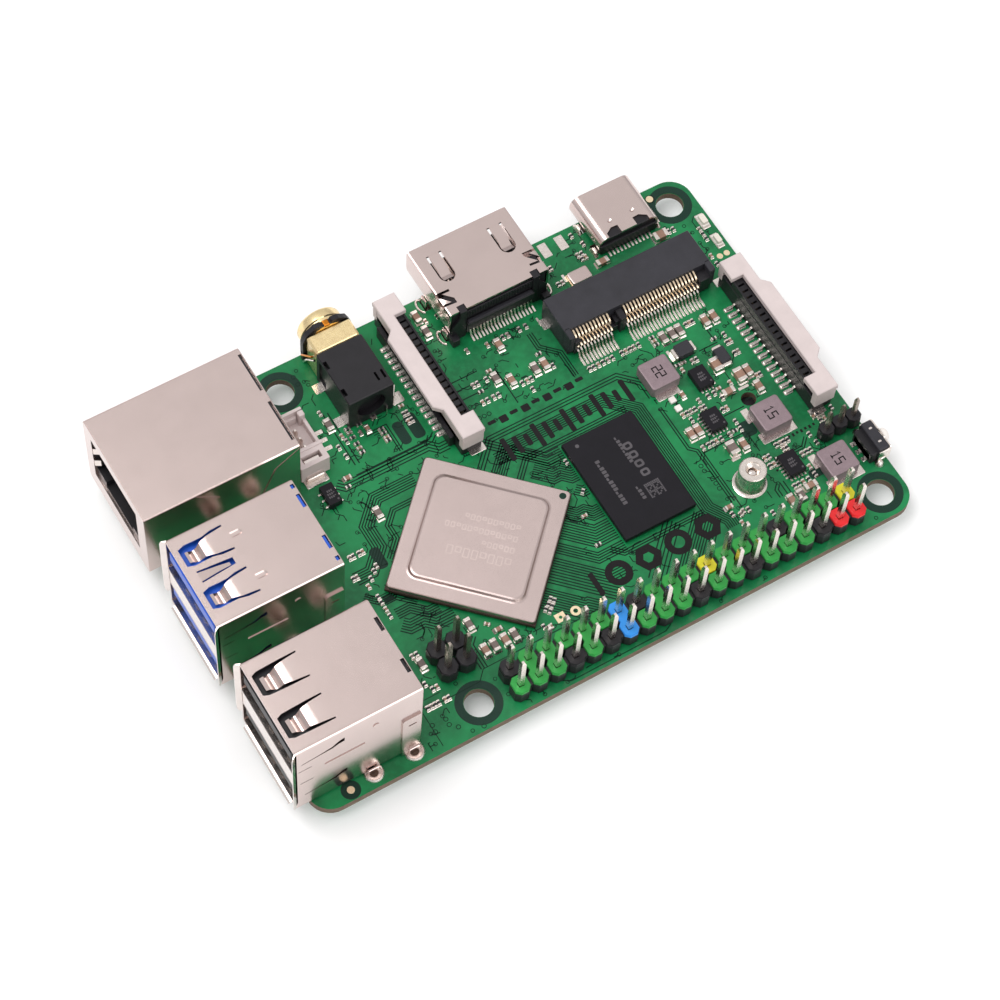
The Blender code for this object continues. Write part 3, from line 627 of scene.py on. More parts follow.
# ---------------------------------------------------------------- camera, light and floor
CAMERA_PLACE = (146.2, 171.0, 320.2)      # board millimetres
CAMERA_AHEAD = (-0.27718, -0.38671, -0.87956)
CAMERA_UP = (-0.43241, -0.76728, 0.47361)
LENS, SENSOR = 106.27, 36.0
FLOOR_REACH, FLOOR_LEVEL = 3.0, -0.0002      # metres; just below the pins that the board stands on


def area_light(name, place, width, height, watts):
    """A rectangular lamp at a place in the frame, aimed at the frame's origin."""
    lamp = bpy.data.lights.new(name, "AREA")
    lamp.shape, lamp.size, lamp.size_y, lamp.energy = "RECTANGLE", width, height, watts
    made = bpy.data.objects.new(name, lamp)
    bpy.context.scene.collection.objects.link(made)
    made.location = place
    made.rotation_euler = (-Vector(place)).to_track_quat("-Z", "Y").to_euler()


def build_stage():
    data = bpy.data.cameras.new("camera")
    data.lens, data.sensor_width = LENS, SENSOR
    data.clip_start, data.clip_end = 0.01, 10.0
    camera = bpy.data.objects.new("camera", data)
    bpy.context.scene.collection.objects.link(camera)
    ahead = Vector(CAMERA_AHEAD).normalized()
    right = ahead.cross(Vector(CAMERA_UP)).normalized()
    camera.matrix_world = Matrix((right, right.cross(ahead), -ahead)).transposed().to_4x4()
    camera.matrix_world.translation = BOARD_TO_FRAME @ Vector(CAMERA_PLACE)
    bpy.context.scene.camera = camera

    world = bpy.data.worlds.new("studio")
    bpy.context.scene.world = world
    world.use_nodes = True
    tree = world.node_tree
    sky = tree.nodes["Background"]
    direction = tree.nodes.new("ShaderNodeTexCoord").outputs["Generated"]
    parts = tree.nodes.new("ShaderNodeSeparateXYZ")
    tree.links.new(direction, parts.inputs[0])
    ramp = tree.nodes.new("ShaderNodeValToRGB")
    tree.links.new(parts.outputs["Z"], ramp.inputs[0])
    ramp.color_ramp.elements[0].color = (0.62, 0.62, 0.64, 1)
    ramp.color_ramp.elements[1].color = (0.98, 0.97, 0.97, 1)
    ramp.color_ramp.elements[1].position = 0.7
    tree.links.new(ramp.outputs[0], sky.inputs[0])
    sky.inputs[1].default_value = 0.8
    bpy.context.scene.view_settings.view_transform = "Standard"

    area_light("softbox", (0.22, -0.12, 0.6), 0.5, 0.35, 2.2)
    area_light("edge_light", (-0.2, 0.72, 0.36), 0.9, 0.3, 1.6)

    s = Shader("pale_floor")
    tone = s.noise(0.01, 2.0)
    s.link(s.blend(tone, (0.86, 0.86, 0.86, 1), (0.9, 0.9, 0.9, 1)), "Base Color")
    s.link(s.bump(s.noise(1.0), 0.002), "Normal")
    s.set(Roughness=0.9, Emission_Color=(1, 1, 1, 1), Emission_Strength=0.12)
    mesh = bpy.data.meshes.new("floor")
    edge = (-FLOOR_REACH, FLOOR_REACH)
    mesh.from_pydata([(x, y, FLOOR_LEVEL) for x, y in rectangle(edge, edge)], [], [(0, 1, 2, 3)])
    mesh.materials.append(s.material)
    floor = bpy.data.objects.new("floor", mesh)
    bpy.context.scene.collection.objects.link(floor)


# ---------------------------------------------------------------- shared connector parts
def cup(piece, outline, back, front, wall, bend=0.3):
    """A drawn metal shell along local Z: closed and bent at the back, open at the front."""
    piece.stack([(offset(outline, -bend), back), (offset(outline, -bend * 0.3), back + bend * 0.3),
                 (outline, back + bend), (outline, front), (offset(outline, -wall), front),
                 (offset(outline, -wall), back + wall)])


def solder_ring(piece, x, y, radius=1.3):
    """A wetted annular joint round a shell's leg, with a flat dark brown disc in the middle as painted shade
    of the hole.
    """
    piece.at(turned(x, y))
    piece.paint(M["solder"])
    piece.turn([(radius, SUNK), (radius - 0.04, 0.16), (radius - 0.2, 0.34), (radius - 0.42, 0.3),
                (radius * 0.44, 0.08), (radius * 0.42, SUNK)], 24, True)
    # painted shade: a flat dark brown disc fills the hole in place of its shaded depth
    piece.paint(M["hole"]).turn([(radius * 0.5, SUNK), (radius * 0.48, 0.015)], 20)
    piece.at()


def solder_cone(piece, x, y, radius=0.85, height=1.2):
    """The concave solder fillet round a pin, under the board."""
    piece.paint(M["solder"]).at(turned(x, y))
    profile = [(radius, 0.02), (radius * 0.72, -0.12), (radius * 0.5, -0.38), (radius * 0.42, -height * 0.8),
               (radius * 0.2, -height)]
    piece.turn([(r, BOARD_UNDERSIDE + h) for r, h in profile], 14)
    piece.at()


def pin_post(piece, x, y, low, tip, size=0.64):
    """A square pin, tapered at both ends."""
    def square(share):
        return rectangle(*around(x, y, size * share, size * share))
    piece.stack([(square(0.55), low), (square(1), low + 0.5), (square(1), tip - 0.45), (square(0.5), tip)])


# ---------------------------------------------------------------- USB sockets
USB_BACK, USB_FRONT, USB_TOP, SHEET = 70.2, 86.9, 15.92, 0.3
USB_LEGS = (71.3, 76.8)      # where the shells' legs go through the board
USB_MOUTH = 75.0             # the hollow front part starts here


def usb_slot(cutter, y, wavy):
    """Cuts one tongue's slot in the top plate, and gives the tongue's middle, half widths and tip."""
    # along X: the slot's half width, then the tongue's
    if wavy:
        half = [(80.3, 1.8, 1.6), (81.8, 1.74, 1.5), (83.0, 1.46, 1.18), (84.0, 1.46, 0.84),
                (85.3, 1.5, 0.76)]
        end, tip = 86.2, 85.6
    else:
        half = [(80.6, 1.8, 1.64), (82.6, 1.78, 1.42), (84.2, 1.74, 1.1), (85.8, 1.66, 0.84)]
        end, tip = 86.45, 85.75
    outer = [(x, y - o) for x, o, _ in half] + [(end, y - half[-1][1] + 0.3), (end, y + half[-1][1] - 0.3)]
    outer += [(x, y + o) for x, o, _ in reversed(half)]
    cutter.slab(outer, (USB_TOP - 2 * SHEET, USB_TOP + SHEET))
    return y, half, tip


def usb_spring(shell, y, half, tip):
    """The tongue inside its slot, bent down to grip the plug and back up at the tip."""
    start = half[0][0]
    dips = ((start - 0.4, 0.0), (82.4, 0.0), (83.2, 0.02), (83.6, 0.14), (84.1, 0.66), (84.35, 0.84),
            (84.6, 0.86), (84.9, 0.7), (85.2, 0.44), (tip, 0.36))
    rings = []
    at = [(x, inner) for x, _, inner in half] + [(tip, half[-1][2])]
    for x, dip in dips:
        width = at[0][1]
        for (xa, wa), (xb, wb) in zip(at, at[1:]):
            if xa <= x <= xb and xb > xa:
                width = wa + (wb - wa) * (x - xa) / (xb - xa)
        top = USB_TOP - 0.002 - dip
        rings.append([(x, y - width, top - 0.22), (x, y + width, top - 0.22), (x, y + width, top),
                      (x, y - width, top)])
    shell.loft(rings)


def usb_side_cuts(cutter, at, way):
    """The slots in one side face; way is +1 on the side toward the header."""
    face = axes((0, at, 0), *SIDE_Y)
    through = (-0.5, 0.6) if way > 0 else (-0.6, 0.5)
    cutter.at(face)
    for drop, shift in ((0.0, 0.0), (8.9, -0.35)):
        slot = [(80.5, 13.8), (81.2, 13.6), (82.1, 12.95), (83.6, 12.6), (86.1, 12.25), (86.1, 12.12),
                (83.6, 12.38), (82.0, 12.5), (81.3, 12.85), (80.5, 12.95)]
        cutter.slab([(x + shift, z - drop) for x, z in slot], through)
    for x, z in ((84.8, 10.4), (84.6, 6.9)):
        cutter.slab(rectangle((x, x + 1.7), (z, z + 0.13)), through)
    cutter.at()


def usb_side_ribs(shell, at, way):
    """The rib, dimple, wrapped tab and legs on one side face."""
    face = axes((0, at, 0), *SIDE_Y)
    shell.at(face)
    out = (-0.09, 0.05) if way > 0 else (-0.05, 0.09)
    shell.slab(rounded((77.8, 83.1), (9.05, 9.3), 0.12), out)
    shell.slab(circle(76.4, 12.6, 0.42, 16), out)
    tab = (-0.24, 0.02) if way > 0 else (-0.02, 0.24)
    shell.plate([(70.5, 0.2), (72.95, 0.2), (72.95, 9.6), (72.7, 9.9), (70.5, 9.9)],
                [rounded((71.1, 72.2), (7.9, 8.2), 0.14)[::-1]], tab)
    shell.at()
    inner, outer = at + way * 0.12, at + way * 0.12 + way * 0.3
    for x in USB_LEGS:
        shell.block((x - 0.75, x + 0.75), (min(inner, outer), max(inner, outer)), (-2.3, 1.2), 0.08)


def build_usb(prefix, y, plastic, wavy):
    """One stacked socket over the span y; the wavy kind has more slots and one spring more."""
    y0, y1 = y
    tongues = (y0 + 3.15, y1 - 3.55) if wavy else (y0 + 3.55, y1 - 3.55)
    shell = Piece(prefix + "_shell", "shell_metal", [prefix + "_shield"]).paint(M["shell"])
    cutter = Piece(prefix + "_cutter").paint(M["shell"])
    shell.at(axes((0, 0, 0), *SIDE_X))
    cup(shell, rounded(y, (0.2, USB_TOP), 0.42, 3), USB_BACK, USB_FRONT, SHEET, 0.12)
    shell.at()
    springs = [usb_slot(cutter, at, wavy) for at in tongues]
    middle = (y0 + y1) / 2 - 0.25
    if wavy:
        outer = [(81.1, middle - 0.45), (85.6, middle - 0.82), (85.6, middle + 0.82), (81.1, middle + 0.45)]
        cutter.slab(outer, (USB_TOP - 2 * SHEET, USB_TOP + SHEET))
        for at in tongues:
            pill = rounded((78.5, 80.2), (at - 0.38, at + 0.38), 0.3)
            cutter.stack([(offset(pill, -0.16), USB_TOP - 0.14), (pill, USB_TOP), (pill, USB_TOP + 0.2)])
        rears = [(at - 0.95, at + 0.95) for at in tongues] + [(y0 + 0.7, y0 + 1.3), (y1 - 1.4, y1 - 0.8)]
    else:
        rears = [(at - 0.95, at + 0.95) for at in tongues]
    for low, high in rears:
        cutter.block((USB_BACK + 0.14, USB_BACK + 0.62), (low, high), (USB_TOP - 1.1, USB_TOP + 0.4), 0.02)
    usb_side_cuts(cutter, y1, 1)
    usb_side_cuts(cutter, y0, -1)
    shell.carve(cutter)
    for spring in springs:
        usb_spring(shell, *spring)
    if wavy:
        shell.loft([[(x, middle - w, USB_TOP - d - 0.2), (x, middle + w, USB_TOP - d - 0.2),
                     (x, middle + w, USB_TOP - d), (x, middle - w, USB_TOP - d)]
                    for x, w, d in ((81.62, 0.22, 0.36), (83.2, 0.36, 0.12), (86.0, 0.66, 0.004))])
    usb_side_ribs(shell, y1, 1)
    usb_side_ribs(shell, y0, -1)
    shell.done(sharp=25)

    trim = Piece(prefix + "_mouth_trim", "shell_metal").paint(M["bright"])
    inside = (y0 + 0.34, y1 - 0.34)
    trim.block((USB_MOUTH, 87.05), inside, (9.55, 9.85), 0.05)
    trim.block((86.7, 86.98), (y0 + 0.5, y1 - 0.5), (6.35, 9.7), 0.08)
    trim.block((USB_MOUTH, 87.0), inside, (6.15, 6.4), 0.05)
    trim.block((USB_MOUTH, 86.95), inside, (0.85, 1.05), 0.04)
    middle = (y0 + y1) / 2
    for low, high in ((y0 + 1.0, middle - 0.05), (middle + 0.05, y1 - 1.0)):
        trim.loft([[(x, low, z), (x, high, z), (x, high, z + 0.2), (x, low, z + 0.2)]
                   for x, z in ((86.6, 0.5), (87.0, 0.48), (87.25, 0.4), (87.42, 0.26))])
    flare = 0.42
    for edge, way, low in ((y0, -1, 3.1), (y1, 1, 0.9)):
        wing = [(86.7, low + 1.2), (86.9, low + 0.4), (87.2, low), (87.42, low + 0.5), (87.44, low + 1.4),
                (87.44, 14.9), (87.25, 15.6), (86.9, 15.75), (86.7, 15.75)]
        trim.loft([[(x, edge - way * inner + way * flare * max((x - 86.9) / 0.54, 0.0), z)
                    for x, z in wing] for inner in (0.0, 0.2)])
    for low in (12.6, 3.9):
        for n in range(4):
            at = y0 + 3.2 + n * ((y1 - y0) - 6.4) / 3
            trim.block((76.0, 86.0), (at - 0.5, at + 0.5), (low - 0.12, low + 0.05), 0.03)
    trim.done()

    plastics = [prefix + kind for kind in ("_housing", "_tongue_lower", "_tongue_upper")]
    core = Piece(prefix + "_insulator", None, plastics).paint(plastic)
    core.block((USB_BACK + 0.34, 75.2), (y0 + 0.36, y1 - 0.36), (0.3, USB_TOP - 0.36), 0.05)
    core.block((USB_MOUTH, 86.4), (y0 + 0.36, y1 - 0.36), (14.95, USB_TOP - 0.9), 0.04)
    core.block((USB_MOUTH, 86.6), (y0 + 0.6, y1 - 0.6), (6.45, 9.5), 0.04)
    for low, high in ((12.6, 14.6), (3.9, 5.9)):
        core.block((USB_MOUTH, 86.88), (y0 + 0.95, y1 - 0.95), (low, high), 0.12)
    for low, high in rears:
        core.block((USB_BACK + 0.24, USB_BACK + 0.6), (low + 0.03, high - 0.03),
                   (USB_TOP - 1.0, USB_TOP - 0.2), 0.03)
    core.done()

    joints = Piece(prefix + "_shell_joints", "tin_plate")
    for x in USB_LEGS:
        for at, way in ((y1, 1), (y0, -1)):
            solder_ring(joints, x, at + way * 0.35, 1.3)
            solder_cone(joints, x, at + way * 0.3, 1.2, 1.1)
    gaps = 4 if wavy else 3
    leads = [(72.6 + row * 2.4, y0 + 2.6 + n * (y1 - y0 - 5.2) / gaps)
             for row in range(2) for n in range(gaps + 1)]
    joints.paint(M["pin"])
    for x, at in leads:
        joints.block(*around(x, at, 0.5, 0.4), (-2.6, 0.3), 0.05)
    for x, at in leads:
        solder_cone(joints, x, at, 0.62, 0.9)
    joints.done()


# ---------------------------------------------------------------- Ethernet socket
def build_ethernet():
    (x0, x1), (y0, y1), (_, top) = span("ethernet_shield")
    mouth = 73.0      # the plug's room starts here
    shell = Piece("ethernet_shell", "shell_metal", ["ethernet_shield"]).paint(M["shell"])
    shell.at(axes((0, 0, 0), *SIDE_X))
    outline = rounded((y0, y1), (0.15, top), 0.45, 3)
    cup(shell, outline, x0, x1 - 0.1, SHEET, 0.12)
    shell.at()
    slots = Piece("ethernet_slots").paint(M["shell"])
    slot_spans = ((y0 + 1.1, 9.2), (11.0, y1 - 1.1))
    for low, high in slot_spans:
        slots.slab(rectangle((x0 + 0.16, x0 + 0.56), (low, high)), (top - 0.7, top + 0.4))
    shell.carve(slots)
    cutter = Piece("ethernet_cutter").paint(M["shell"])
    for at, through in ((y1, (-0.5, 0.12)), (y0, (-0.12, 0.5))):
        cutter.at(axes((0, at, 0), *SIDE_Y))
        cutter.strip([(66.4, 12.9), (69.9, 10.6), (71.9, 5.6), (71.9, 0.0)], 0.3, through)
        cutter.strip([(80.4, 13.1), (77.4, 10.4)], 0.24, through)
        cutter.strip([(72.5, 5.6), (76.0, 5.6), (76.0, 0.0)], 0.16, through)
    cutter.at()
    shell.carve(cutter)
    opening = [(4.3, 3.1), (15.9, 3.1), (15.9, 11.6), (4.3, 11.6)]
    shell.at(axes((0, 0, 0), *SIDE_X))
    shell.plate(offset(outline, -0.02), [opening[::-1]], (x1 - 0.32, x1))
    shell.done(sharp=25)

    inner = Piece("ethernet_insulator", "black_plastic", ["ethernet_housing", "ethernet_contact_block"])
    inner.paint(M["black"]).at(axes((0, 0, 0), *SIDE_X))
    notch = [(4.3, 11.6), (4.3, 4.4), (6.6, 4.4), (6.6, 3.4), (13.6, 3.4), (13.6, 4.4), (15.9, 4.4),
             (15.9, 11.6)]
    case = rectangle((y0 + 0.36, y1 - 0.36), (0.4, top - 0.36))
    inner.plate(case, [notch], (mouth, x1 - 0.34))
    inner.slab(case, (x0 + 0.36, mouth))
    inner.at()
    # partly painted shade: the black insulator is raised up into the two top slots as bars, so that the slots
    # read dark
    for low, high in slot_spans:
        inner.slab(rectangle((x0 + 0.3, x0 + 0.54), (low + 0.03, high - 0.03)), (top - 0.9, top - 0.1))
    inner.loft([[(x, 5.3, z), (x, 14.9, z), (x, 14.9, z + 0.7), (x, 5.3, z + 0.7)]
                for x, z in ((mouth, 9.6), (78.6, 10.5))])
    inner.done()

    contacts = Piece("ethernet_contacts", "gold_plating").paint(M["gold"])
    for n in range(8):
        at = 6.53 + n * 1.02
        contacts.wire([(84.9, at, 11.3), (84.2, at, 11.0), (79.0, at, 7.6), (76.6, at, 6.4)], 0.19, 6)
    contacts.done()

    joints = Piece("ethernet_joints", "tin_plate")
    for at in (y0, y1):
        solder_ring(joints, 76.3, at, 1.05)
        solder_cone(joints, 76.3, at, 1.05, 1.2)
        joints.paint(M["shell"]).block((75.6, 77.0), (at - 0.16, at + 0.16), (-2.6, 1.0), 0.06)
    for n in range(14):
        x, y = 69.4 + (n % 2) * PITCH, 4.6 + (n // 2) * 1.9
        joints.paint(M["pin"]).block(*around(x, y, 0.45, 0.45), (-2.7, 0.3), 0.06)
        solder_cone(joints, x, y, 0.72, 1.0)
    joints.done()

    springs = Piece("ethernet_springs", "shell_metal").paint(M["bright"])
    for edge, way in ((4.34, 1), (15.86, -1)):
        for z in (5.4, 8.2):
            springs.loft([[(x, edge, z), (x, edge + way * d, z), (x, edge + way * d, z + 1.3),
                           (x, edge, z + 1.3)]
                          for x, d in ((x1 - 0.05, 0.1), (x1 - 0.7, 0.5), (x1 - 1.6, 0.3), (x1 - 3.4, 0.12))])
    springs.done()


# ---------------------------------------------------------------- HDMI socket
def build_hdmi():
    (x0, x1), (front, back), (_, top) = span("hdmi_shield")
    centre = (x0 + x1) / 2
    shell = Piece("hdmi_shell", "shell_metal", ["hdmi_shield"]).paint(M["shell"])
    cutter = Piece("hdmi_cutter").paint(M["shell"])
    bend, low, waist = 0.4, 0.55, 1.9
    profile = [(x0 + waist, low), (x1 - waist, low), (x1 - 1.3, low + 0.9), (x1 - 0.12, low + 1.5), (x1, 3.0),
               (x1, top - bend), (x1 - 0.12, top - 0.12), (x1 - bend, top), (x0 + bend, top),
               (x0 + 0.12, top - 0.12), (x0, top - bend), (x0, 3.0), (x0 + 0.12, low + 1.5),
               (x0 + 1.3, low + 0.9)]
    shell.at(axes((0, 0, 0), *SIDE_Y))
    shell.plate(profile, [offset(profile, -SHEET)[::-1]], (-back, -front))
    shell.at()
    through = (top - 0.6, top + 0.4)
    for side in (-1, 1):
        spring = centre + side * 4.45
        window = [(spring - 1.08, -1.6), (spring + 1.08, -1.6), (spring + 1.08, 1.85)]
        window += arc(spring, 1.85, 1.08, 0, 180, 8)[1:]
        cutter.slab(window, through)
        mark = centre + side * 6.35
        # a barbed cut-out near each rear corner, with its tongue left standing
        cutter.strip([(mark - 0.95, 5.9), (mark + 0.95, 5.75)], 0.34, through)
        cutter.slab([(mark - 0.95, 5.9), (mark - 0.55, 5.9), (mark + 0.95, 4.3), (mark + 0.95, 3.8),
                     (mark + 0.5, 3.8), (mark - 0.95, 5.3)], through)
        cutter.strip([(mark - 0.95, 4.0), (mark + 0.95, 3.95)], 0.36, through)
        notch = centre + side * 5.35
        cutter.block((notch - 0.55, notch + 0.55), (6.62, back + 0.4), through, 0.02)
    shell.carve(cutter)
    for side in (-1, 1):
        spring = centre + side * 4.45
        shell.loft([[(spring - 0.72, y, top - d - 0.2), (spring + 0.72, y, top - d - 0.2),
                     (spring + 0.72, y, top - d), (spring - 0.72, y, top - d)]
                    for y, d in ((-1.7, 0.003), (0.6, 0.12), (1.25, 0.42), (1.5, 0.52),
                                 (1.8, 0.45), (2.45, 0.1))])
    shell.done()

    core = Piece("hdmi_core", "black_plastic", ["hdmi_insulator"]).paint(M["black"])
    core.block((x0 + 0.45, x1 - 0.45), (4.4, back - 0.05), (0.9, top - 0.34), 0.05)
    for side in (-1, 1):
        notch = centre + side * 5.35
        core.block((notch - 0.5, notch + 0.5), (6.5, back + 0.3), (0.0, top - 0.06), 0.06)
        foot = centre + side * 6.75
        core.block((foot - 0.5, foot + 0.5), (5.9, 8.6), (0.05, 1.5), 0.08)
        wing = [(centre + side * 5.7, 0.1), (centre + side * 7.1, 0.1), (centre + side * 6.9, 3.4),
                (centre + side * 5.7, 5.0)]
        core.at(axes((0, 0, 0), *SIDE_Y))
        core.slab(wing if side > 0 else wing[::-1], (-back - 0.35, -back + 1.2))
        core.at()
    rear = (centre - 4.9, centre + 4.9)
    core.block((rear[0] - 0.4, rear[1] + 0.4), (back - 0.2, back + 0.15), (3.9, 5.4), 0.05)
    core.block(rear, (back - 0.2, back + 0.75), (2.7, 3.3), 0.08)
    core.block(rear, (back - 0.2, back + 0.45), (0.9, 2.5), 0.05)
    core.paint(M["charcoal"]).block((rear[0] + 0.2, rear[1] - 0.2), (back + 0.1, back + 0.62),
                                    (3.2, 3.42), 0.06)
    core.paint(M["black"]).block((centre - 5.6, centre + 5.6), (front + 1.6, 4.5), (2.9, 3.9), 0.08)
    for n in range(24):
        at = rear[0] + 0.5 + n * 0.39
        core.block((at, at + 0.2), (back + 0.1, back + 0.22), (4.0, 5.2), 0.02)
    core.done()

    leads = Piece("hdmi_leads", "tin_plate").paint(M["pin"])
    for n in range(19):
        at = 27.4 + n * 0.5
        leads.at(axes((at + 0.125, 0, 0), *SIDE_X))
        leads.strip([(back - 0.1, 1.6), (back + 0.35, 1.35), (back + 0.75, 0.3), (9.0, 0.12)], 0.14,
                    (-0.25, 0.0))
    for n in range(19):
        at = centre - 4.5 + n * 0.5
        leads.at().block((at - 0.12, at + 0.12), (front + 1.7, 4.0), (3.88, 3.98), 0.03)
    leads.done()

    loops = Piece("hdmi_shell_legs", "tin_plate").paint(M["solder"])
    for side in (-1, 1):
        for y in (1.2, 6.6):
            at = centre + side * 7.32
            path = [(at, y - 0.95, 0.1), (at + side * 0.2, y - 0.9, 0.1)]
            loop = [(at + side * (0.35 + 0.55 * math.cos(math.radians(a))),
                     y + 1.05 * math.sin(math.radians(a)), 0.1) for a in range(-90, 100, 20)]
            loops.wire(path + loop, 0.16)
            loops.paint(M["shell"]).block((at - 0.2, at + 0.12), (y - 0.6, y + 0.6), (-2.2, 1.6), 0.06)
            solder_cone(loops, at, y, 0.8, 0.8)
            loops.paint(M["solder"])
    loops.done()


# ---------------------------------------------------------------- USB-C socket
def build_usbc():
    (x0, x1), (front, back), (_, top) = span("usbc_shield")
    centre = (x0 + x1) / 2
    shell = Piece("usbc_shell", "shell_metal", ["usbc_shield"]).paint(M["shell"])
    cutter = Piece("usbc_cutter").paint(M["shell"])
    outline = rounded((x0, x1), (0.05, top), 1.35, 6)
    shell.at(axes((0, 0, 0), *SIDE_Y))
    shell.plate(outline, [offset(outline, -SHEET)[::-1]], (-back, -front))
    shell.at()
    for side in (-1, 1):
        at = centre + side * 2.1
        tip, root = at + side * 0.95, at - side * 0.95
        cut = [(root, back + 0.1), (root, 4.45), (at, 4.4), (tip, 5.0), (tip, back + 0.1)]
        cutter.slab(cut if side < 0 else cut[::-1], (top - 0.6, top + 0.3))
        dimple = centre + side * 1.7
        cutter.at(Matrix.Translation((dimple, 3.4, top)))
        cutter.turn([(0.05, -0.22), (0.3, -0.06), (0.4, 0.0), (0.42, 0.2)], 14)
        cutter.at()
    shell.carve(cutter)
    shell.done()

    core = Piece("usbc_core", "black_plastic", ["usbc_insulator"]).paint(M["black"])
    core.block((x0 + 0.45, x1 - 0.45), (1.6, back - 0.05), (0.3, top - 0.33), 0.1)
    core.block((x0 + 1.3, x1 - 1.3), (front + 0.9, 1.8), (1.27, 1.93), 0.12)
    core.block((x0 + 0.2, x1 - 0.2), (back - 0.15, back + 0.25), (0.15, 1.9), 0.1)
    core.done()

    leads = Piece("usbc_leads", "tin_plate").paint(M["pin"])
    for n in range(12):
        at = 8.25 + n * 0.56
        leads.at(axes((at + 0.13, 0, 0), *SIDE_X))
        leads.strip([(back, 0.55), (back + 0.3, 0.16), (back + 1.0, 0.08)], 0.12, (-0.26, 0.0))
    leads.at().paint(M["gold"])
    for n in range(10):
        at = centre - 2.25 + n * 0.5
        leads.block((at - 0.12, at + 0.12), (front + 1.1, 1.6), (1.2, 2.0), 0.03)
    for side in (-1, 1):
        for y, tall in ((5.0, 0.9), (0.95, 0.95)):
            at = centre + side * 4.75
            foot = rounded((at - 0.35, at + 0.35), (y - tall, y + tall), 0.3)
            slope = rounded((at - 0.3, at + 0.3), (y - tall + 0.08, y + tall - 0.08), 0.28)
            crest = rounded((at - 0.12, at + 0.12), (y - 0.5, y + 0.5), 0.1)
            leads.paint(M["solder"]).stack([(foot, SUNK), (slope, 0.1), (crest, 0.5)])
            leads.block((at - 0.3, at - 0.05), (y - 0.4, y + 0.4), (-1.7, 0.7), 0.05)
            solder_cone(leads, at, y, 0.6, 0.5)
    leads.done()


# ---------------------------------------------------------------- audio socket
def build_audio():
    (x0, x1), (y0, y1), (_, top) = span("audio_jack_body")
    axis = ((x0 + x1) / 2, 3.3)
    body = Piece("audio_socket_body", "black_plastic", ["audio_jack_body"]).paint(M["black"])
    cutter = Piece("audio_cutter").paint(M["black"])
    body.block((x0, x1), (y0, y1), (0.05, top), 0.12)
    for x, y in (((x0 + 0.3, x0 + 0.62), (9.8, 11.1)), ((x0 + 1.2, x0 + 1.5), (9.8, 11.1)),
                 ((x1 - 0.62, x1 - 0.1), (10.0, 11.1)), ((x1 - 0.6, x1 - 0.1), (5.5, 6.7))):
        cutter.block(x, y, (top - 1.1, top + 0.5), 0.02)
    cutter.block((x1 - 0.25, x1 + 0.5), (4.9, 6.6), (1.2, 5.2), 0.02)
    cutter.at(axes((axis[0], 0, axis[1] + 0.1), *SIDE_Y)).turn([(2.0, -y1 - 0.5), (2.0, -y1 + 0.9)], 32)
    cutter.at()
    body.carve(cutter)
    body.done()

    gold = Piece("audio_ferrule", "gold_plating", ["audio_jack_ferrule"]).paint(M["gold"])
    gold.block((x0 + 0.15, x1 - 0.15), (1.25, y0 - 0.02), (0.1, top - 0.05), 0.25)
    gold.at(axes((axis[0], 0, axis[1]), *SIDE_Y))
    gold.turn([(1.8, -1.2), (3.0, -1.2), (3.0, -0.5), (2.86, -0.35), (2.86, 0.1), (3.0, 0.25), (3.0, 1.2),
               (2.8, 1.5), (2.3, 1.74), (1.95, 1.74), (1.8, 1.5)], 48, True)
    gold.done()

    clip = Piece("audio_clip", "black_plastic", ["audio_jack_clip"]).paint(M["black"])
    clip.at(axes((axis[0], 0, axis[1]), *SIDE_Y))
    ring = arc(0.0, 0.0, 2.98, -40, 220, 26)
    wings = [(-3.45, -1.6), (-3.45, 1.2), (-2.9, 2.5), (-2.3, 2.9), (-1.7, 3.4), (-0.75, 3.44), (-0.6, 3.12),
             (0.6, 3.12), (0.75, 3.44), (1.7, 3.4), (2.3, 2.9), (2.9, 2.5), (3.45, 1.2), (3.45, -1.6)]
    clip.slab(wings[::-1] + ring[::-1], (-1.15, -0.45))
    for foot in ((2.9, 3.45), (-3.45, -2.9)):
        clip.slab(rectangle(foot, (-3.1, -1.2)), (-1.15, -0.5))
    clip.paint(M["copper"]).slab(rounded((-0.4, 0.4), (2.75, 3.2), 0.1), (-1.2, -0.4), 0.05)
    clip.done()

    tabs = Piece("audio_leads", "tin_plate").paint(M["pin"])
    tabs.slab(rounded((48.4, 50.1), (10.6, 12.2), 0.2), (SUNK, 0.08), 0.02)
    tabs.slab(rounded((56.3, 57.7), (10.2, 11.6), 0.1), (SUNK, 0.1), 0.02)
    tabs.slab(rounded((56.1, 57.7), (4.7, 6.1), 0.1), (SUNK, 0.1), 0.02)
    tabs.slab(rounded((48.9, 50.1), (4.4, 5.8), 0.1), (SUNK, 0.1), 0.02)
    tabs.strip([(49.0, 10.4), (49.8, 11.6), (50.3, 12.0)], 0.16, (0.1, 1.7))
    tabs.strip([(50.25, 9.2), (51.0, 12.2), (51.4, 12.8)], 0.14, (0.1, 1.4))
    tabs.wire([(56.7, 3.8, 4.2), (57.0, 2.6, 3.0), (57.0, 1.8, 1.6), (56.8, 1.2, 0.4)], 0.16)
    tabs.paint(M["copper"]).wire([(56.8, 3.4, 4.6), (57.1, 2.2, 3.4), (57.1, 1.2, 2.2)], 0.14)
    tabs.done()


# ---------------------------------------------------------------- pin headers
# header colours by column, from the corner pin on: the row along the board's edge, then the inner row
OUTER_ROW = "rrkgggkggkgggbkgkggg"
INNER_ROW = "ygggkgggygggkbgggggk"
HEADER_COLOURS = dict(r="red", y="yellow", g="green", b="sky", k="black")
CELL = 2.2
PIN_TAIL, PIN_TIP = -3.1, 8.5


def build_joints(name, places, radius=0.85):
    """The solder under a header's pins."""
    joints = Piece(name, "tin_plate")
    for x, y in places:
        solder_cone(joints, x, y, radius)
    joints.done()


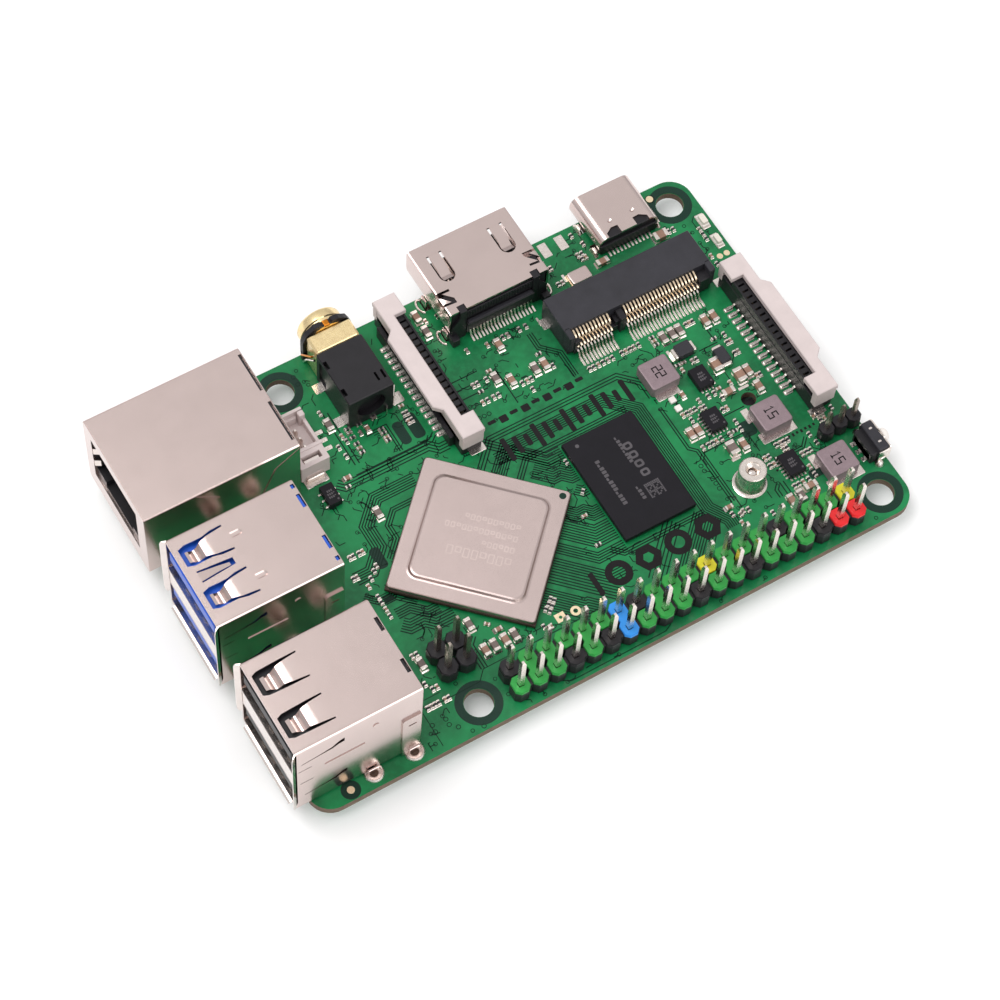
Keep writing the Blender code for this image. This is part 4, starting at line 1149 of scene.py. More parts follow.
def build_gpio():
    first, inner = 8.37, 51.23
    low, seam, top = 0.1, 2.05, 2.55
    body = Piece("gpio_header_body", "header_plastic", ["gpio_header"]).paint(M["black"])
    pins = Piece("gpio_header_pins", "tin_plate").paint(M["pin"])
    for column, pair in enumerate(zip(INNER_ROW, OUTER_ROW)):
        x = first + column * PITCH
        body.paint(M["black"])
        if column < len(OUTER_ROW) - 1:
            for row in range(2):
                y = inner + row * PITCH
                body.block((x + 0.9, x + PITCH - 0.9), (y - 0.55, y + 0.55), (low, seam + 0.1), 0.04)
        for row, colour in enumerate(pair):
            y = inner + row * PITCH
            body.paint(M["black"])
            body.slab(rectangle(*around(x, y, CELL, CELL + 0.24), 0.55), (low, seam), 0.06)
            body.paint(M[HEADER_COLOURS[colour]])
            outline = rectangle(*around(x, y, CELL - 0.12, CELL + 0.2), 0.55)
            # painted shade: the square hole round each pin shows the black base below, a dark ring in place
            # of the shaded pit round the pin
            hole = rectangle(*around(x, y, 0.74, 0.74))
            body.plate(outline, [hole[::-1]], (seam - 0.02, top - 0.08))
            body.plate(offset(outline, -0.06), [hole[::-1]], (top - 0.09, top))
            pin_post(pins, x, y, PIN_TAIL, PIN_TIP)
        if pair[0] == pair[1] and pair[0] != "k":
            body.block((x - 0.62, x + 0.62), (inner + 0.9, inner + PITCH - 0.9), (seam, top - 0.01), 0.03)
        body.paint(M["black"])
        body.block((x - 0.62, x + 0.62), (inner + 0.9, inner + PITCH - 0.9), (low, seam), 0.03)
    body.done()
    pins.done()
    places = [(first + c * PITCH, inner + r * PITCH) for c in range(len(OUTER_ROW)) for r in range(2)]
    build_joints("gpio_header_joints", places)


def header_cell(piece, x, y, *levels):
    """A header's housing round one pin; every level is a width, a depth, a cut corner and a height."""
    piece.stack([(rectangle(*around(x, y, wide, deep), corner), z) for wide, deep, corner, z in levels])


def build_small_headers():
    (x0, _), (y0, _), _ = span("poe_header")
    places = [(x0 + PITCH / 2 + c * PITCH, y0 + PITCH / 2 + r * PITCH) for c in range(2) for r in range(2)]
    poe = Piece("poe_header_body", "header_plastic", ["poe_header"]).paint(M["black"])
    pins = Piece("poe_header_pins", "tin_plate").paint(M["dark_pin"])
    for x, y in places:
        header_cell(poe, x, y, (2.2, 2.3, 0.6, 0.1), (2.44, 2.5, 0.66, 0.4), (2.44, 2.5, 0.66, 2.35),
                    (2.2, 2.3, 0.6, 2.5))
        pin_post(pins, x, y, PIN_TAIL, PIN_TIP)
    poe.done()
    pins.done()
    build_joints("poe_header_joints", places)

    places = [(1.1 + 2.0 * i, 42.4) for i in range(3)]
    small = Piece("three_pin_header_body", "header_plastic", ["three_pin_header"]).paint(M["black"])
    pins = Piece("three_pin_header_pins", "tin_plate").paint(M["dark_pin"])
    for x, y in places:
        header_cell(small, x, y, (1.8, 1.8, 0.5, 0.1), (1.98, 2.0, 0.55, 0.35), (1.98, 2.0, 0.55, 1.95),
                    (1.75, 1.8, 0.5, 2.15))
        pin_post(pins, x, y, PIN_TAIL, 6.0, 0.5)
    small.done()
    pins.done()
    build_joints("three_pin_header_joints", places, 0.7)


def build_fan_header():
    (x0, x1), (y0, y1), (_, top) = span("fan_header")
    fan = Piece("fan_socket_body", "cream_plastic", ["fan_header"]).paint(M["cream"])
    fan.block((x0, x1), (y0, y1 - 2.0), (0.05, 1.1), 0.08)
    fan.block((x0, x0 + 0.45), (y0, y1 - 2.3), (0.6, 2.5), 0.06)
    fan.block((x0, x0 + 0.8), (y0 + 0.5, y0 + 1.3), (0.6, 3.4), 0.08)
    fan.block((x1 - 0.5, x1), (y0, y1 - 2.3), (0.6, top), 0.08)
    fan.block((x0, x1), (y0, y0 + 0.4), (0.6, 3.4), 0.06)
    fan.block((x0 + 0.9, x1), (y0 + 0.3, y0 + 0.75), (0.6, 2.5), 0.06)
    fan.block((x0, x1), (y1 - 2.7, y1 - 2.2), (0.6, top - 0.2), 0.08)
    window = rectangle((x0 + 0.9, x1 - 0.9), (y1 - 1.55, y1 - 0.6))
    fan.plate(rectangle((x0 + 0.2, x1 - 0.2), (y1 - 2.3, y1), 0.1), [window[::-1]], (1.5, 3.2))
    fan.block((x0 + 0.2, x1 - 0.2), (y1 - 2.3, y1), (0.05, 1.6), 0.06)
    fan.paint(M["bright"]).block((x0 + 1.1, x1 - 1.1), (y1 - 1.4, y1 - 0.8), (1.5, 2.6), 0.1)
    fan.done()
    leads = Piece("fan_socket_leads", "tin_plate").paint(M["pin"])
    for y in (10.95, 12.2, 13.45):
        leads.at(axes((0, y + 0.16, 0), *SIDE_Y))
        leads.strip([(x0 - 1.2, 0.1), (x0 - 0.4, 0.12), (x0 - 0.1, 0.5)], 0.18, (0.0, 0.32))
        leads.at()
        pin_post(leads, (x0 + x1) / 2, y, 1.0, 3.4, 0.5)
        leads.paint(M["solder"])
        leads.slab(rounded((x0 - 1.6, x0 - 0.3), (y - 0.28, y + 0.28), 0.1), (SUNK, 0.07), 0.02)
        leads.paint(M["pin"])
    for low, high in ((y0 - 0.6, y0 + 0.6), (y1 - 0.7, y1 + 1.2)):
        leads.paint(M["solder"]).slab(rounded((x0 + 0.9, x1 - 0.4), (low, high), 0.15), (SUNK, 0.12), 0.03)
    leads.paint(M["pin"]).block((x0 + 1.2, x1 - 0.8), (y1 - 0.1, y1 + 0.5), (0.1, 0.9), 0.1)
    leads.done()


# ---------------------------------------------------------------- power button
def build_button():
    (x0, x1), (y0, y1), (_, top) = span("power_button_body")
    middle = (y0 + y1) / 2
    body = Piece("power_button_case", "black_plastic", ["power_button_body"]).paint(M["charcoal"])
    body.block((x0, x0 + 1.45), (y0, y1), (0.6, top), 0.12)
    body.paint(M["black"]).block((x0, x1), (y0 + 0.15, y1 - 0.15), (0.05, 2.2), 0.1)
    body.block((x0 + 1.3, x1), (y0 + 0.4, y1 - 0.4), (0.3, 1.7), 0.1)
    body.paint(M["bright"])
    for y in (y0 + 1.1, y1 - 1.1):
        body.slab(rounded((x0 + 0.5, x0 + 0.95), (y - 0.13, y + 0.13), 0.1), (top - 0.05, top + 0.02))
    body.done()

    bracket = Piece("power_button_frame", "tin_plate", ["power_button_bracket"]).paint(M["tin"])
    bracket.at(axes((0, 0, 0), *SIDE_X))
    plate = rectangle((y0 - 0.15, y1 + 0.15), (0.25, top - 0.35), 0.2)
    bracket.plate(plate, [circle(middle, 1.75, 1.2, 28)[::-1]], (-0.28, -0.1))
    bracket.at()
    for low, high in ((y0 - 0.2, y0 - 0.02), (y1 + 0.02, y1 + 0.2)):
        bracket.block((-0.28, 1.5), (low, high), (0.2, top - 0.5), 0.04)
        bracket.block((0.3, 1.2), (min(low, high) - 0.1, max(low, high) + 0.1), (0.05, 0.9), 0.08)
    bracket.paint(M["solder"])
    for y in (y0 - 0.35, y1 + 0.35):
        bracket.stack([(circle(1.3, y, 0.62, 14), SUNK), (circle(1.3, y, 0.58, 14), 0.12),
                       (circle(1.3, y, 0.3, 14), 0.55), (circle(1.3, y, 0.08, 14), 0.68)])
    for y in (45.2, 46.4, 47.6):
        bracket.slab(rounded((x1 - 0.1, x1 + 0.55), (y - 0.32, y + 0.32), 0.1), (SUNK, 0.14), 0.04)
    bracket.done()

    plunger = Piece("power_button_cap", "white_plastic", ["power_button_plunger"], "power_button")
    plunger.paint(M["white"]).at(axes((0, middle, 1.75), *SIDE_X))
    plunger.turn([(0.3, -1.2), (0.66, -1.14), (0.86, -0.95), (0.92, -0.7), (0.92, 0.28)], 32)
    plunger.done()


# ---------------------------------------------------------------- flat cable sockets
def build_flex(prefix):
    """The socket body with its comb of slots, its leads, and the latch that lifts straight up."""
    (x0, x1), (y0, y1), (low, top) = span(prefix + "_latch")
    side = 1 if prefix == "csi" else -1
    centre = (y0 + y1) / 2
    spine = x1 - 1.0 if side > 0 else x0 + 1.0
    hook = 3.0

    def side_x(value):
        """A place along X, measured from the latch's spine away from the comb."""
        return spine + side * value

    def across(a, b):
        return min(side_x(a), side_x(b)), max(side_x(a), side_x(b))

    latch = Piece(prefix + "_latch_bar", "cream_plastic", [prefix + "_latch"], prefix + "_cable_latch")
    latch.paint(M["cream"])
    outline = [(side_x(0.0), y0), (side_x(0.0), centre - 6.6), (side_x(1.0), centre - 5.6),
               (side_x(1.0), centre + 5.6), (side_x(0.0), centre + 6.6), (side_x(0.0), y1),
               (side_x(-3.15), y1), (side_x(-3.2), y1 - hook), (side_x(-1.5), y1 - hook),
               (side_x(-1.5), y0 + hook), (side_x(-3.2), y0 + hook), (side_x(-3.15), y0)]
    if side < 0:
        outline = outline[::-1]
    latch.slab(outline, (top - 0.95, top), 0.12)
    for end in ((y0 + 0.05, y0 + 1.0), (y1 - 1.0, y1 - 0.05)):
        latch.block(across(-3.1, -0.1), end, (low, top - 0.9), 0.06)
    latch.block(across(-0.7, -0.15), (y0 + 1.0, y1 - 1.0), (low + 0.3, top - 0.9), 0.05)
    latch.done()

    body = Piece(prefix + "_socket_body", "black_plastic", [prefix + "_socket_housing"]).paint(M["black"])
    body.block(across(-3.05, -0.15), (y0 + 0.35, y1 - 0.35), (0.05, 2.9), 0.08)
    body.block(across(-3.0, -2.72), (y0 + hook - 0.1, y1 - hook + 0.1), (2.8, 4.1), 0.03)
    body.block(across(-1.75, -1.5), (y0 + hook - 0.1, y1 - hook + 0.1), (2.8, 3.9), 0.03)
    body.block(across(-0.15, 0.55), (centre - 9.2, centre + 9.2), (0.05, 2.2), 0.08)
    for n in range(17):
        y = centre - 8.0 + n
        body.block(across(-2.75, -1.7), (y - 0.36, y + 0.36), (2.8, 3.86), 0.04)
    body.done()

    leads = Piece(prefix + "_socket_leads", "tin_plate").paint(M["pin"])
    root = x1 - 1.6 if prefix == "csi" else x1 - 0.35
    for n in range(15):
        y = centre - 7.0 + n
        leads.at(axes((root, y + 0.2, 0), *SIDE_Y))
        leads.strip([(0.0, 0.62), (0.3, 0.56), (0.6, 0.2), (1.55, 0.16)], 0.16, (0.06, 0.34))
        leads.at().paint(M["solder"])
        leads.plate(rounded((root + 0.5, root + 1.75), (y - 0.34, y + 0.34), 0.16, 3),
                    [rectangle((root + 0.6, root + 1.3), (y - 0.2, y + 0.2))[::-1]], (SUNK, 0.1))
        leads.paint(M["contact"]).block(across(-2.6, -2.0), (y + 0.36, y + 0.64), (2.8, 3.2), 0.03)
        leads.paint(M["pin"])
    leads.paint(M["solder"])
    for y in (y0 + 0.2, y1 - 0.2):
        leads.slab(rounded(across(-3.4, -1.2), (y - 0.6, y + 0.6), 0.15), (SUNK, 0.1), 0.03)
    leads.done()


# ---------------------------------------------------------------- M.2 socket and its post
def build_m2():
    (x0, x1), (y0, y1), (_, top) = span("m2_socket_housing")
    mouth = 15.4
    body = Piece("m2_socket_body", "black_plastic", ["m2_socket_housing"]).paint(M["charcoal"])
    body.block((x0, x1), (y0, mouth), (0.9, top), 0.1)
    for low, high in ((x0, x0 + 0.85), (x1 - 0.85, x1)):
        body.block((low, high), (mouth - 0.3, y1), (0.9, top), 0.12)
    body.paint(M["black"])
    body.block((x0 + 0.05, x1 - 0.05), (y0 + 0.05, y1 - 0.35), (0.05, 1.2), 0.06)
    body.block((x0 + 0.8, x1 - 0.8), (y0 + 2.0, y1 - 0.1), (0.6, 1.75), 0.06)
    body.block((x0 + 0.7, x0 + 2.3), (mouth - 0.2, y1 + 0.15), (0.3, 3.0), 0.1)
    body.block((x1 - 1.6, x1 - 0.7), (mouth - 0.2, y1 + 0.15), (0.3, 3.0), 0.1)
    body.block((18.85, 19.75), (mouth - 0.5, y1 + 0.25), (0.4, 3.5), 0.08)
    body.block((18.6, 20.2), (mouth - 0.2, y1 - 0.2), (0.4, 2.6), 0.06)
    for n in range(37):
        x = x0 + 1.9 + n * 0.5
        if not 18.2 < x < 20.6:
            body.block((x - 0.09, x + 0.09), (mouth - 0.2, y1 + 0.1), (1.5, 2.25), 0.02)
    body.done()
    leads = Piece("m2_socket_contacts", "tin_plate")
    for start, count in ((7.95, 22), (20.95, 11)):
        for n in range(count):
            x = start + n * 0.5
            leads.at(axes((x + 0.11, 0, 0), *SIDE_X)).paint(M["contact"])
            upper = [(mouth - 0.4, 3.6), (mouth + 0.3, 3.4), (mouth + 0.8, 3.1), (mouth + 1.05, 2.6)]
            lower = [(mouth + 0.6, 2.1), (mouth + 1.35, 2.05), (mouth + 1.6, 1.8)]
            foot = [(y1 - 0.5, 1.2), (y1 + 0.35, 0.9), (y1 + 0.75, 0.16), (y1 + 2.0, 0.1)]
            leads.strip(upper, 0.14, (-0.22, 0.0))
            leads.strip(lower, 0.14, (-0.22, 0.0))
            leads.paint(M["pin"]).strip(foot, 0.14, (-0.22, 0.0))
            leads.at().paint(M["solder"])
            leads.slab(rounded((x - 0.14, x + 0.14), (y1 + 0.7, y1 + 2.15), 0.06), (SUNK, 0.05), 0.01)
    for x in (x0 + 0.1, x1 - 0.1):
        leads.slab(rounded((x - 0.7, x + 0.7), (y0 + 0.3, y0 + 1.9), 0.15), (SUNK, 0.1), 0.03)
    leads.done()

    height = span("m2_standoff")[2][1]
    post = Piece("m2_post", "tin_plate", ["m2_standoff"]).paint(M["tin"]).at(turned(17.0, 43.4))
    post.turn([(1.0, height), (1.62, height), (1.75, height - 0.12), (1.75, height - 0.9),
               (1.72, height - 1.0), (1.72, 0.45), (1.8, 0.3), (1.95, 0.14), (2.2, 0.03),
               (1.0, 0.03)], 40, True)
    post.paint(M["bright"])
    post.turn([(0.2, height - 0.75), (0.7, height - 0.95), (1.02, height - 0.95), (1.02, 0.05)], 24)
    post.paint(M["tin"])
    post.turn([(0.55, height - 0.6), (1.0, height - 0.18), (1.04, height - 0.18), (1.04, height - 0.6)],
              24, True)
    for n in range(5):
        level = height - 0.25 - n * 0.3
        post.turn([(0.86, level), (1.02, level + 0.12), (1.02, level - 0.12)], 24, True)
    post.done()


# ---------------------------------------------------------------- processor, memory and other chips
def build_processor():
    lid_top = span("processor_lid")[2][1]
    place = turned(50.7, 34.2, 0.0, 45.0)
    carrier = Piece("processor_carrier", "laminate", ["processor_substrate"]).paint(M["substrate"]).at(place)
    half, outer_row, pitch, count = 9.42, 8.9, 0.848, 22
    carrier.block((-half, half), (-half, half), (0.3, 0.78), 0.04)
    carrier.paint(M["solder"])
    for n in range(count):
        for edge in (-outer_row, outer_row):
            at = -outer_row + n * pitch
            for x, y in ((at, edge), (edge, at)):
                carrier.at(place @ Matrix.Translation((x, y, 0)))
                carrier.turn([(0.12, 0.0), (0.24, 0.12), (0.24, 0.26), (0.14, 0.36)], 8)
    carrier.done()

    lid = Piece("processor_cover", "lid_metal", ["processor_lid"]).paint(M["lid"]).at(place)
    rim, step = 9.3, 7.1

    def square(reach, radius):
        return rounded((-reach, reach), (-reach, reach), radius, 8)

    lid.stack([(square(rim, 0.5), 0.76), (square(rim, 0.5), 1.44), (square(rim - 0.1, 0.45), 1.52),
               (square(step + 0.45, 1.5), 1.52), (square(step + 0.25, 1.4), 1.6),
               (square(step + 0.05, 1.3), 1.86), (square(step - 0.15, 1.2), lid_top)])
    lid.paint(M["lid_mark"]).at(place @ Matrix.Rotation(math.radians(-90), 4, "Z"))
    top = (lid_top - 0.01, lid_top + 0.012)
    lines = ((2.6, 1.3, 8, 0.8), (0.8, 0.8, 6, 0.55), (-0.8, 0.8, 13, 0.55), (-2.4, 0.8, 10, 0.55))
    for line, (y, tall, count, wide) in enumerate(lines):
        for n in range(count):
            across = (-4.6 + n * wide * 1.3, -4.6 + n * wide * 1.3 + wide)
            upright = (y - tall / 2, y + tall / 2 - (0.0 if (n + line) % 3 else tall * 0.35))
            lid.plate(inset(across, upright, 0.0, 0.12), [inset(across, upright, 0.14, 0.06)[::-1]], top)
    lid.done(sharp=15)

    dot = Piece("processor_corner_mark", "solder_mask").paint(M["dark_mask"])
    dot.at(turned(38.75, 34.2)).turn([(0.45, 1.4), (0.45, 1.535), (0.4, 1.54)], 20)
    dot.done()


def marks(piece, x, y, z, rows, turn=0.0):
    """Rows of short generic bars, in the place of printed characters."""
    piece.at(turned(x, y, 0, turn))
    for offset_y, tall, count, wide in rows:
        for n in range(count):
            left = (n - count / 2) * wide * 1.3
            high = tall if (n * 7 + count) % 4 else tall * 0.5
            piece.slab(rounded((left, left + wide), (offset_y, offset_y + high), wide * 0.2, 2),
                       (z - 0.02, z + 0.008))
    piece.at()


# the strokes of each numeral in a box one wide and two high
DIGITS = {"1": [[(0.1, 1.5), (0.5, 2), (0.5, 0)], [(0.1, 0), (0.9, 0)]],
          "2": [[(0, 2), (1, 2), (1, 1), (0, 1), (0, 0), (1, 0)]],
          "5": [[(1, 2), (0, 2), (0, 1), (1, 1), (1, 0), (0, 0)]]}


def number(piece, text, x, y, z, size, turn):
    """Plain stroked numerals."""
    piece.at(turned(x, y, 0, turn))
    for i, digit in enumerate(text):
        for stroke in DIGITS[digit]:
            left = (i - len(text) / 2) * 1.45 * size + 0.2 * size
            piece.strip([(left + px * size, (py - 1) * size) for px, py in stroke], 0.26 * size,
                        (z - 0.02, z + 0.01))
    piece.at()


def build_memory():
    x, y, (_, top) = span("memory_chip")
    chip = Piece("memory_package", "chip_plastic", ["memory_chip"]).paint(M["epoxy"])
    chip.block(x, y, (0.3, top), 0.04)
    chip.paint(M["substrate"])
    chip.block((x[0] + 0.05, x[1] - 0.05), (y[0] + 0.05, y[1] - 0.05), (0.22, 0.34), 0.02)
    chip.paint(M["mark"])
    middle = (y[0] + y[1]) / 2
    marks(chip, 32.4, middle, top, [(-0.3, 0.6, 13, 0.42)], 90)
    marks(chip, 29.9, middle + 3.0, top, [(-0.25, 0.5, 4, 0.4)], 90)
    marks(chip, 28.6, middle - 3.2, top, [(-0.25, 0.5, 8, 0.4)], 90)
    for row in range(9):
        for column in range(9):
            if (row * row + 3 * column + row * column) % 4 < 2 or not row or not column:
                px, py = 27.0 + column * 0.24, 37.6 + row * 0.24
                chip.slab(rectangle((px, px + 0.2), (py, py + 0.2)), (top - 0.02, top + 0.006))
    chip.slab(circle(33.4, 28.9, 0.26, 16), (top - 0.02, top + 0.006))
    for at in (31.4, 32.8, 34.2, 35.6):
        ring = (27.3, 28.5), (at, at + 1.05)
        chip.plate(inset(*ring, 0.0, 0.35), [inset(*ring, 0.3, 0.15)[::-1]], (top - 0.02, top + 0.004))
    chip.done()


def quad_chip(name, node, lead_sides, pitch=0.5):
    """A moulded package with leads or lands along its edges."""
    (x0, x1), (y0, y1), (_, top) = span(node)
    chip = Piece(name, "chip_plastic", [node]).paint(M["epoxy"])
    chip.block((x0, x1), (y0, y1), (0.08, top), 0.05)
    chip.paint(M["mark"]).slab(circle(x0 + 0.35, y1 - 0.4, 0.14, 12), (top - 0.02, top + 0.006))
    marks(chip, (x0 + x1) / 2, (y0 + y1) / 2, top,
          [(0.35, 0.3, 4, 0.2), (-0.1, 0.3, 4, 0.2), (-0.55, 0.3, 3, 0.2)])
    chip.paint(M["solder"])
    reach = {"w": (x0 - 0.35, x0 + 0.2), "e": (x1 - 0.2, x1 + 0.35), "s": (y0 - 0.35, y0 + 0.2),
             "n": (y1 - 0.2, y1 + 0.35)}
    for side in lead_sides:
        low, high = (y0, y1) if side in "we" else (x0, x1)
        count = int((high - low - 0.3) / pitch) + 1
        for n in range(count):
            at = (low + high) / 2 + (n - (count - 1) / 2) * pitch
            width = (at - 0.13, at + 0.13)
            x, y = (reach[side], width) if side in "we" else (width, reach[side])
            chip.slab(rounded(x, y, 0.06), (SUNK, 0.2), 0.05)
    chip.done()


def build_inductor(index, text, pads):
    node = "power_inductor_%d" % index
    x, y, (_, top) = span(node)
    coil = Piece("inductor_block_%d" % index, "ferrite", [node]).paint(M["ferrite"])
    coil.stack([(inset(x, y, 0.1, 0.35), 0.08), (inset(x, y, 0.0, 0.4), 0.3),
                (inset(x, y, 0.0, 0.4), top - 0.25), (inset(x, y, 0.06, 0.38), top - 0.1),
                (inset(x, y, 0.22, 0.3), top)])
    coil.paint(M["ink"])
    number(coil, text, sum(x) / 2, sum(y) / 2, top, 0.64, 90)
    coil.paint(M["solder"])
    for pad in pads:
        coil.slab(rounded(*pad, 0.12), (SUNK, 0.1), 0.03)
    coil.done()


def build_chips():
    build_inductor(1, "15", [((3.5, 8.7), (48.0, 49.3)), ((7.7, 8.75), (43.9, 45.9)),
                             ((3.5, 4.6), (43.9, 45.9))])
    build_inductor(2, "15", [((7.4, 12.4), (38.2, 39.8)), ((11.5, 12.5), (34.2, 36.3)),
                             ((7.4, 8.2), (34.3, 36.3))])
    build_inductor(3, "22", [((17.4, 20.7), (26.4, 28.1)), ((17.6, 20.6), (22.6, 23.6))])
    quad_chip("regulator_package_1", "regulator_chip_1", "nse")
    quad_chip("regulator_package_2", "regulator_chip_2", "nse")
    quad_chip("regulator_package_3", "regulator_chip_3", "nw")
    quad_chip("fan_driver_package", "fan_driver_chip", "we", 0.95)
    for node, along in (("diode_1", "x"), ("diode_2", "y")):
        (x0, x1), (y0, y1), (_, top) = span(node)
        diode = Piece(node + "_package", "chip_plastic", [node]).paint(M["charcoal"])
        diode.block((x0 + 0.35 * (along == "x"), x1 - 0.35 * (along == "x")),
                    (y0 + 0.35 * (along == "y"), y1 - 0.35 * (along == "y")), (0.1, top), 0.1)
        diode.paint(M["solder"])
        for end in (0, 1):
            if along == "x":
                edge = (x0 - 0.15, x0 + 0.4) if end else (x1 - 0.4, x1 + 0.15)
                diode.block(edge, (y0 + 0.15, y1 - 0.15), (0.02, top - 0.35), 0.1)
            else:
                edge = (y0 - 0.15, y0 + 0.4) if end else (y1 - 0.4, y1 + 0.15)
                diode.block((x0 + 0.1, x1 - 0.1), edge, (0.02, top - 0.35), 0.1)
        diode.done()
    x, y, (_, top) = span("crystal_can")
    can = Piece("crystal_cover", "lid_metal", ["crystal_can"]).paint(M["gold_pad"])
    can.block((x[0] - 0.05, x[1] + 0.05), (y[0] - 0.05, y[1] + 0.05), (0.03, 0.35), 0.05)
    can.paint(M["lid"]).stack([(inset(x, y, 0.05, 0.25), 0.3), (inset(x, y, 0.08, 0.25), top - 0.1),
                               (inset(x, y, 0.25, 0.2), top)])
    can.done()
    for index in (1, 2):
        (x0, x1), (y0, y1), (_, top) = span("status_led_%d" % index)
        led = Piece("led_package_%d" % index, "led_lens", ["status_led_%d" % index]).paint(M["solder"])
        led.slab(rounded((x0 - 0.05, x1 + 0.05), (y0, y1), 0.1), (SUNK, 0.14), 0.04)
        led.paint(M["white"]).block((x0 + 0.05, x1 - 0.05), (y0 + 0.3, y1 - 0.3), (0.03, 0.4), 0.04)
        led.paint(M["lens"])
        led.stack([(rounded((x0 + 0.1, x1 - 0.1), (y0 + 0.45, y1 - 0.45), 0.15), 0.38),
                   (rounded((x0 + 0.16, x1 - 0.16), (y0 + 0.5, y1 - 0.5), 0.15), top)])
        led.done()


# ---------------------------------------------------------------- small surface-mount parts
# length, width and height of each size, in millimetres
SIZES = dict(large=(2.0, 1.25, 0.95), medium=(1.75, 0.9, 0.75), small=(1.05, 0.6, 0.5), tiny=(0.72, 0.4, 0.3))
ALONG_Y, ALONG_X = 90.0, 0.0


def part(piece, size, x, y, turn, colour, face=None):
    """A chip capacitor or resistor: a body between two plated ends that stand in solder."""
    long, wide, tall = SIZES[size]
    piece.at((face or Matrix.Identity(4)) @ turned(x, y, 0.0, turn))
    cap = long * 0.27
    bevel = 0.0 if size == "tiny" else 0.05
    piece.paint(M[colour])
    piece.block((-long / 2 + cap * 0.9, long / 2 - cap * 0.9), (-wide / 2 + 0.03, wide / 2 - 0.03),
                (0.02, tall - 0.03), bevel)
    piece.paint(M["solder"])
    for side in (-1, 1):
        end, root = side * long / 2, side * (long / 2 - cap)
        piece.block((min(end, root), max(end, root)), (-wide / 2, wide / 2), (0.02, tall), bevel)
        toe = end + side * (0.1 if size == "tiny" else 0.2)
        piece.stack([(rectangle((min(toe, root), max(toe, root)), (-wide / 2 - 0.06, wide / 2 + 0.06)), SUNK),
                     (rectangle((min(end, root), max(end, root)), (-wide / 2 - 0.02, wide / 2 + 0.02)),
                      0.06 if size == "tiny" else 0.16)])
    piece.at()


def place_parts(name, size, colours, along_y=(), along_x=(), face=None):
    """A group of equal parts as one piece, with the listed colours taken in turn."""
    group = Piece(name, "tin_plate")
    for i, (x, y) in enumerate(along_y):
        part(group, size, x, y, ALONG_Y, colours[i % len(colours)], face)
    for i, (x, y) in enumerate(along_x):
        part(group, size, x, y, ALONG_X, colours[i % len(colours)], face)
    return group


def column(x, *levels):
    """Places along Y at one X."""
    return [(x, y) for y in levels]


def rows(*lines):
    """Places along X; every line starts with its Y."""
    return [(x, y) for y, *along in lines for x in along]


def build_capacitors():
    tan, dark = ["ceramic"], ["ceramic_dark"]
    place_parts("capacitors_power_large", "large", tan, [(9.8, 29.95), (11.6, 27.2)], [(7.3, 7.2)]).done()
    place_parts("capacitors_input_large", "large", dark, [(16.4, 38.4)]).done()
    near_power = [(13.9, 48.2), (14.8, 38.6), (18.7, 34.1), (19.8, 34.1), (8.5, 32.4), (8.5, 29.8),
                  (7.9, 20.9), (9.2, 20.9)]
    place_parts("capacitors_power", "medium", tan, near_power,
                [(10.7, 47.6), (12.3, 31.2), (16.0, 6.9)]).done()
    place_parts("capacitors_power_grey", "medium", dark,
                [(12.5, 48.2), (12.9, 20.5), (14.0, 20.5), (15.3, 20.5), (59.4, 24.6)]).done()
    by_sockets = [(30.5, 16.4), (31.9, 16.4), (35.4, 16.4), (37.0, 15.2), (34.1, 11.1), (41.2, 5.0),
                  (41.2, 2.5)]
    place_parts("capacitors_video", "medium", tan + dark, by_sockets).done()
    place_parts("capacitors_network", "medium", dark, [(58.6, 10.8), (65.0, 44.9)]).done()
    place_parts("capacitors_header", "medium", dark + tan,
                rows((47.1, 53.3, 54.6, 56.1, 57.4), (43.2, 57.4))).done()
    place_parts("capacitors_small", "small", tan, [(17.6, 28.7), (54.6, 13.5)],
                [(21.2, 45.1), (54.6, 45.4), (60.2, 18.4)]).done()
    blocks = Piece("test_blocks", "tin_plate").paint(M["white"])
    for x, y in column(19.1, 30.1, 28.7):
        blocks.block(*around(x, y, 0.85, 0.85), (SUNK, 0.4), 0.06)
    blocks.done()


